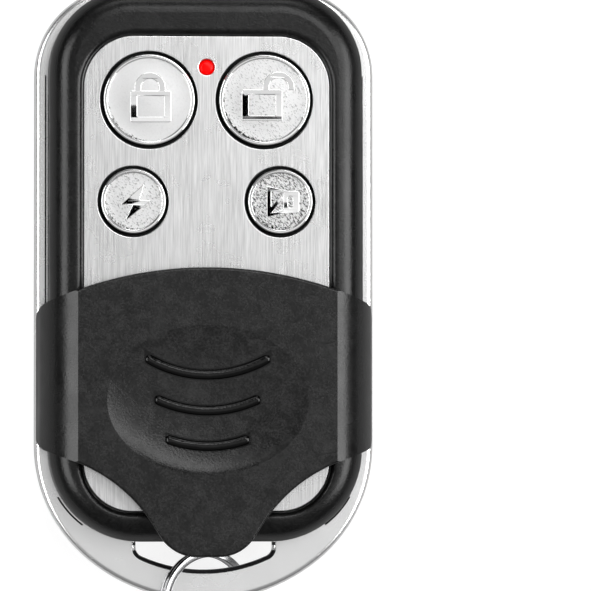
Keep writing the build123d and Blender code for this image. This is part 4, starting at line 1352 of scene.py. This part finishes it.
@dataclass
class Signs:
    """Raised signs, each as a list of slabs, and each slab as an outline and its holes.

    A padlock's bow is the X of its middle, half its width and its top, all measured to the
    middle of the stroke. The window is the round-ended hole in the speaker's box, as its
    left, low, right and top side.
    """

    half_stroke: float = 0.31
    body_half: Pair = (2.015, 1.56)
    opening_half: Pair = (1.34, 1.04)
    body_round: float = 0.2
    opening_round: float = 0.1
    bow_round: float = 0.05
    foot_round: float = 0.1
    lock_body: Pair = (0.14, -0.68)
    lock_bow: Place = (0.08, 1.22, 2.38)
    unlock_body: Pair = (-0.26, -0.52)
    unlock_bow: Place = (1.38, 1.27, 2.5)
    unlock_foot: float = 1.0
    bolt_corners: tuple[Pair, ...] = (
        (1.07, 1.71), (-1.26, -0.38), (-0.07, -0.38), (-0.86, -2.01), (1.72, 0.07), (0.58, 0.12))
    bolt_rounds: tuple[float, ...] = (0.04, 0.06, 0.04, 0.04, 0.06, 0.04)
    speaker_corners: tuple[Pair, ...] = (
        (-1.35, 1.515), (-1.35, -1.563), (0.332, -1.135), (1.86, -1.135), (1.86, 1.055),
        (0.75, 1.055))
    speaker_rounds: tuple[float, ...] = (0.08, 0.08, 0.0, 0.2, 0.2, 0.0)
    horn_corners: tuple[Pair, ...] = (
        (-0.92, -0.55), (0.034, 0.545), (0.266, 0.355), (-0.86, -1.11), (0.3, -0.8),
        (0.3, 0.859), (-0.92, 1.1))
    horn_round: float = 0.03
    window: tuple[float, float, float, float] = (0.72, -0.6, 1.22, 0.54)
    window_round: float = 0.249

    def outline(self, body: Pair, bow: list[Pair], radii: list[float], steps: int) -> np.ndarray:
        """Outline of a padlock.

        Args:
            body: centre of its body.
            bow: the bow's corners, from the body's right shoulder to its left one.
            radii: radius of each of them.
            steps: straight pieces in each arc.

        Returns:
            Points along the outline.
        """
        (x, y), (half_x, half_y) = body, self.body_half
        low_left, low_right, top_right, top_left = box_corners(
            x - half_x, y - half_y, x + half_x, y + half_y)
        return rounded_path([low_left, low_right, top_right, *bow, top_left],
                            [self.body_round] * 3 + [*radii, self.body_round], steps=steps)

    def opening(self, body: Pair) -> np.ndarray:
        """Opening in a padlock's body.

        Args:
            body: centre of the body.

        Returns:
            Points round the opening.
        """
        (x, y), (half_x, half_y) = body, self.opening_half
        corners = box_corners(x - half_x, y - half_y, x + half_x, y + half_y)
        return rounded_path(corners, self.opening_round)

    def lock(self) -> list[Slab]:
        """Closed padlock: body and bow as one outline, with two holes.

        Returns:
            The sign's slabs.
        """
        middle, half, top = self.lock_bow
        wide, narrow = half + self.half_stroke, half - self.half_stroke
        shoulder = self.lock_body[1] + self.body_half[1]
        outer, inner = top + self.half_stroke, top - self.half_stroke
        bow = [(middle + wide, shoulder), (middle + wide, outer), (middle - wide, outer),
               (middle - wide, shoulder)]
        outline = self.outline(self.lock_body, bow, [0, wide, wide, 0], steps=20)
        inside = box_corners(middle - narrow, shoulder, middle + narrow, inner)
        inside = rounded_path(inside, [self.bow_round, self.bow_round, narrow, narrow], steps=16)
        return [[outline, self.opening(self.lock_body), inside]]

    def unlock(self) -> list[Slab]:
        """Open padlock: the bow stands on the body by its left leg only.

        Returns:
            The sign's slabs.
        """
        middle, half, top = self.unlock_bow
        wide, narrow = half + self.half_stroke, half - self.half_stroke
        shoulder = self.unlock_body[1] + self.body_half[1]
        outer, inner, foot = top + self.half_stroke, top - self.half_stroke, self.unlock_foot
        bow = [(middle - narrow, shoulder), (middle - narrow, inner), (middle + narrow, inner),
               (middle + narrow, foot), (middle + wide, foot), (middle + wide, outer),
               (middle - wide, outer), (middle - wide, shoulder)]
        radii = [0, narrow, narrow, self.foot_round, self.foot_round, wide, wide, 0]
        outline = self.outline(self.unlock_body, bow, radii, steps=16)
        return [[outline, self.opening(self.unlock_body)]]

    def bolt(self) -> list[Slab]:
        """Lightning bolt, as one outline without holes."""
        return [[rounded_path(self.bolt_corners, self.bolt_rounds, steps=4)]]

    def speaker(self) -> list[Slab]:
        """Speaker: horn and box as one outline, the horn's opening cut by a slanting stroke.

        Returns:
            The sign's slabs.
        """
        outline = rounded_path(self.speaker_corners, self.speaker_rounds, steps=6)
        horn = rounded_path(self.horn_corners, self.horn_round, steps=3)
        return [[outline, horn, rounded_path(box_corners(*self.window), self.window_round)]]


@dataclass
class ButtonPad:
    """The four buttons and the push switches under them."""

    large_place: Pair = (5.735, 19.15)
    small_place: Pair = (7.295, 9.07)

    def buttons(self) -> list[Button]:
        """The four buttons, the lock first.

        Returns:
            The buttons.
        """
        signs = Signs()
        large, small = ButtonSize.LARGE, ButtonSize.SMALL
        (large_x, large_y), (small_x, small_y) = self.large_place, self.small_place
        return [
            Button("lock", (-large_x, large_y), large, signs.lock(), FINE_PLATING, -0.0125),
            Button("unlock", (large_x, large_y), large, signs.unlock(), SPECKLED_PLATING, 0.0085),
            Button("bolt", (-small_x, small_y), small, signs.bolt(), SMALL_PLATING, -0.005),
            Button("speaker", (small_x, small_y), small, signs.speaker(), COARSE_PLATING, 0.0165)]

    def holes(self) -> list[tuple[Pair, float]]:
        """Centre and radius of the hole round each button."""
        return [(button.place, button.size.hole) for button in self.buttons()]

    def build(self) -> None:
        """Make the buttons and dress the switches under them."""
        for button in self.buttons():
            button.build()
            dress_nodes(SWITCH_MOULDING, button.name + "_switch_base", button.name + "_switch_stem")
            dress_nodes(TINNED_METAL, button.name + "_switch_cover")
            dress_nodes(DOME_STEEL, button.name + "_switch_dome")


@dataclass
class Indicator:
    """Red light: the light pipe with its domed end."""

    place: Pair = (0.0, 22.43)
    hole_radius: float = 0.78
    radius: float = 0.72
    top: float = 11.2
    tip_height: float = 0.14
    tip_round: float = 0.3
    foot: float = 5.2
    collar_radius: float = 1.2
    collar_top: float = 9.75
    collar_low: float = 9.25
    step_round: float = 0.1
    edge_round: float = 0.08

    def build(self) -> None:
        """Make the light pipe: a turned profile with a crowned tip."""
        profile = rounded_profile([
            (0, self.top, 0), (self.radius, self.top - self.tip_height, self.tip_round),
            (self.radius, self.collar_top, self.step_round),
            (self.collar_radius, self.collar_top, self.edge_round),
            (self.collar_radius, self.collar_low, self.edge_round),
            (self.radius, self.collar_low, self.step_round),
            (self.radius, self.foot, self.edge_round), (0, self.foot, 0)])
        surface = Surface("light_pipe")
        surface.add_turning(profile, self.place, count=64)
        fit(surface.make(RED_LIGHT.material()), "case", "red_light", "led_light_pipe")


@dataclass
class CircuitBoard:
    """Board with the small parts of the transmitter."""

    def build(self) -> None:
        """Dress the board and its parts."""
        dress_nodes(BOARD_LAMINATE, "circuit_board")
        dress_nodes(TINNED_METAL, "switch_leads", "saw_resonator")
        dress_nodes(CHIP_MOULDING, "encoder_chip", "rf_transistor")
        dress_nodes(WHITE_CERAMIC, "led_chip")
        dress_nodes(COIL_MOULDING, "rf_coil")
        dress_nodes(TRIMMER_BODY, "trimmer_capacitor")
        dress_nodes(RESISTOR_BODY, "resistors")
        dress_nodes(CAPACITOR_BODY, "capacitors")
        dress_nodes(SCREW_STEEL, "board_screws")


@dataclass
class Power:
    """Cell and its two contacts."""

    def build(self) -> None:
        """Dress the cell and the contacts."""
        dress_nodes(BATTERY_JACKET, "battery")
        dress_nodes(SPRUNG_CONTACT, "battery_contact_plus", "battery_contact_minus")


@dataclass
class KeyRing:
    """Split ring of flat wire, wound in two turns that nearly touch."""

    inner_radius: float = 4.74
    outer_radius: float = 5.52
    thickness: float = 0.42
    corner_round: float = 0.17
    turns: int = 2
    pitch: float = 0.5
    centre: Place = (0.3, -31.15, 5.05)
    tilt: float = 31.0
    steps_per_turn: int = 180

    def section(self) -> np.ndarray:
        """Section of the wire: radius from the ring's axis and height along it, closed.

        Returns:
            Pairs of radius and height, the last the same as the first.
        """
        half = self.thickness / 2
        corners = box_corners(self.inner_radius, -half, self.outer_radius, half)
        loop = rounded_path(corners, self.corner_round, steps=5)
        return np.concatenate([loop, loop[:1]])

    def build(self) -> None:
        """Make the ring.

        The section is turned from the top end anticlockwise. With s the share of the whole
        winding, its height falls from half the turns' rise to minus that. The ring then
        tilts about Y and moves to its place. U runs along the wire and V round its section.
        """
        section = self.section()
        share = np.linspace(0, 1, self.turns * self.steps_per_turn + 1)[:, None]
        angle = math.pi / 2 + 2 * math.pi * self.turns * share
        rise = self.pitch * self.turns * (0.5 - share)
        radius, height = section[:, 0], section[:, 1]
        local = np.stack([radius * np.cos(angle), radius * np.sin(angle), height + rise], -1)
        turn = np.array(Matrix.Rotation(math.radians(self.tilt), 3, "Y"))
        grid = local @ turn.T + np.array(self.centre)
        length = share * self.turns * 2 * math.pi * self.outer_radius
        run = np.linalg.norm(np.diff(section, axis=0), axis=1)
        around = np.concatenate([[0], np.cumsum(run)])
        uv = np.stack(np.broadcast_arrays(length, around[None, :]), -1)
        surface = Surface("split_ring")
        surface.add_grid(grid, uv)
        for end in (grid[0], grid[-1]):
            middle = np.repeat(end.mean(0)[None, :], len(end), 0)
            surface.add_grid(np.stack([end, middle]))
        fit(surface.make(RING_STEEL.material()), "ring", "ring_steel", "key_ring")


@dataclass(frozen=True)
class Lamp:
    """Rectangular soft box that faces the object.

    Its place and size are millimetres, its radiance is the brightness of its face, and its
    roll is a turn about its own axis in degrees.
    """

    name: str
    place: Place
    size: Pair
    radiance: float
    roll: float = 0.0


@dataclass
class Studio:
    """Camera, lamps, a small overhead card with a flag, plain sky and a pale floor.

    The sky's levels are heights and brightnesses. Each of its two fades is a range of Y,
    over which the brightness changes towards that end's share.
    """

    target: Place = (0.0, 0.0, 6.0)
    camera_place: Place = (-25.0, -10.0, 500.0)
    camera_target: Place = (9.19, -0.15, 6.0)
    camera_range: Pair = (0.01, 20.0)
    lens: float = 300.4
    sensor: float = 36.0
    lamps: tuple[Lamp, ...] = (
        Lamp("overhead_card", (60, 75, 1000), (200, 190), 0.4),
        Lamp("soft_box_left", (-669, 0, 602), (420, 800), 4.4),
        Lamp("soft_box_right", (669, 0, 602), (420, 800), 5.6),
        Lamp("soft_box_top", (0, 780, 450), (700, 260), 2.0),
        Lamp("soft_box_corner", (240, 240, 810), (800, 240), 3.6, roll=-45))
    floor_height: float = -0.02
    floor_radius: float = 1500.0
    floor_rings: int = 24
    floor_colours: Pair = (0.29, 0.31)
    floor_cloud: float = 0.02
    cloud_range: Pair = (0.3, 0.7)
    floor_glow: float = 0.8
    floor_shine: float = 0.24
    sky_levels: tuple[Pair, ...] = (
        (0.0, 0.25), (0.25, 0.2), (0.45, 0.25), (0.7, 0.3), (0.9, 0.34), (0.97, 0.66),
        (1.0, 0.76))
    key_end_fade: Pair = (-0.5, -0.08)
    key_end_share: float = 0.8
    top_end_fade: Pair = (-0.06, 0.08)
    top_end_share: float = 0.42
    flag_height: float = 985.0
    flag_corners: tuple[Pair, ...] = (
        (0.0, 5.0), (52.0, 5.0), (52.0, 45.0), (33.0, 45.0), (33.0, 66.0), (20.0, 66.0),
        (20.0, 100.0), (0.0, 100.0))

    @staticmethod
    def add_aimed(name: str, data: bpy.types.ID, place: Place, target: Place,
                  roll: float = 0.0) -> bpy.types.Object:
        """Add a lamp or camera that looks at a target, with +Y up in its picture.

        Args:
            name: the object's name.
            data: its lamp or camera data.
            place: where it stands, in millimetres.
            target: what it looks at, in millimetres.
            roll: its turn about its own axis, in degrees.

        Returns:
            The new object.
        """
        spot, goal = Vector(place) * MM, Vector(target) * MM
        ahead = (goal - spot).normalized()
        right = ahead.cross(Vector((0, 1, 0))).normalized()
        turn = Matrix((right, right.cross(ahead), -ahead)).transposed()
        thing = bpy.data.objects.new(name, data)
        bpy.context.scene.collection.objects.link(thing)
        thing.matrix_world = (Matrix.Translation(spot) @ turn.to_4x4()
                              @ Matrix.Rotation(math.radians(roll), 4, "Z"))
        return thing

    def add_camera(self) -> None:
        """Camera above the object, a little to its left."""
        data = bpy.data.cameras.new("camera")
        data.lens = self.lens
        data.sensor_width = self.sensor
        data.clip_start, data.clip_end = self.camera_range
        bpy.context.scene.camera = self.add_aimed("camera", data, self.camera_place,
                                                  self.camera_target)

    def add_lamp(self, lamp: Lamp) -> None:
        """Hang a lamp; its power is its radiance times pi times its area.

        Args:
            lamp: the lamp.
        """
        data = bpy.data.lights.new(lamp.name, "AREA")
        data.shape = "RECTANGLE"
        data.size, data.size_y = lamp.size[0] * MM, lamp.size[1] * MM
        data.energy = lamp.radiance * math.pi * data.size * data.size_y
        self.add_aimed(lamp.name, data, lamp.place, self.target, lamp.roll)

    def add_flag(self) -> None:
        """Hang a small black flag under the overhead card; polished signs mirror its edges."""
        black, _, shader = new_material("flag", grey(0.0))
        shader.inputs["Specular IOR Level"].default_value = 0.0
        surface = Surface("flag")
        surface.add_flat([np.array(self.flag_corners)], self.flag_height)
        surface.make(black)

    def add_sky(self) -> None:
        """Sky that is pale overhead, darker lower down and darker towards both ends."""
        world = bpy.data.worlds.new("studio sky")
        bpy.context.scene.world = world
        world.use_nodes = True
        graph = Graph(world.node_tree)
        direction = graph.split(graph.add("TexCoord").outputs["Generated"])
        ramp = graph.add("ValToRGB", {"Fac": direction["Z"]})
        elements = ramp.color_ramp.elements
        while len(elements) < len(self.sky_levels):
            elements.new(0.5)
        for element, (position, level) in zip(elements, self.sky_levels):
            element.position = position
            element.color = (*grey(level), 1)
        level = graph.product(
            ramp.outputs["Color"],
            graph.ramp(direction["Y"], *self.key_end_fade, self.key_end_share, 1.0),
            graph.ramp(direction["Y"], *self.top_end_fade, 1.0, self.top_end_share))
        seen = graph.add("LightPath").outputs["Is Camera Ray"]
        graph.feed(world.node_tree.nodes["Background"],
                   {"Color": graph.blend(seen, level, grey(1.0)), "Strength": 1.0})

    def add_floor(self) -> None:
        """Round pale floor; a ring's radius is the floor's times the square of its share."""
        radius = self.floor_radius * np.linspace(0, 1, self.floor_rings + 1) ** 2
        profile = np.stack([radius, np.full_like(radius, self.floor_height)], 1)
        surface = Surface("floor")
        surface.add_turning(profile, (0.0, 0.0), count=64)
        floor = surface.make(self.floor_material())
        if floor.data.polygons[0].normal.z < 0:
            floor.data.flip_normals()

    def floor_material(self) -> bpy.types.Material:
        """Pale matt floor that also glows for camera, mirror and clear rays.

        Returns:
            The floor's material.
        """
        dark, light = self.floor_colours
        made, graph, shader = new_material("floor", grey(light))
        cloud = graph.noise(Finish.millimetres(graph), self.floor_cloud, detail=2.0)
        pale = graph.blend(graph.ramp(cloud, *self.cloud_range), grey(dark), grey(light))
        path = graph.add("LightPath").outputs
        seen = graph.math("ADD", path["Is Camera Ray"], path["Is Transmission Ray"], clamp=True)
        shine = graph.product(path["Is Glossy Ray"], self.floor_shine)
        glow = graph.math("MULTIPLY_ADD", seen, self.floor_glow, shine)
        graph.feed(shader, {"Base Color": pale, "Roughness": 0.9, "Specular IOR Level": 0.0,
                            "Emission Color": (1, 1, 1, 1), "Emission Strength": glow})
        return made

    def build(self) -> None:
        """Set up the studio."""
        self.add_camera()
        self.add_sky()
        self.add_floor()
        self.add_flag()
        for lamp in self.lamps:
            self.add_lamp(lamp)
        bpy.context.scene.view_settings.view_transform = "Standard"


def main() -> None:
    """Build the sub-assemblies in order; the pieces they dress or make are logged."""
    logging.basicConfig(level=logging.INFO, format="%(message)s")
    pad = ButtonPad()
    indicator = Indicator()
    holes = pad.holes() + [(indicator.place, indicator.hole_radius)]
    for assembly in (Case(FacePlate(), holes), SlidingCover(), pad, indicator, CircuitBoard(),
                     Power(), KeyRing(), Studio()):
        assembly.build()


if __name__ == "__main__":
    main()
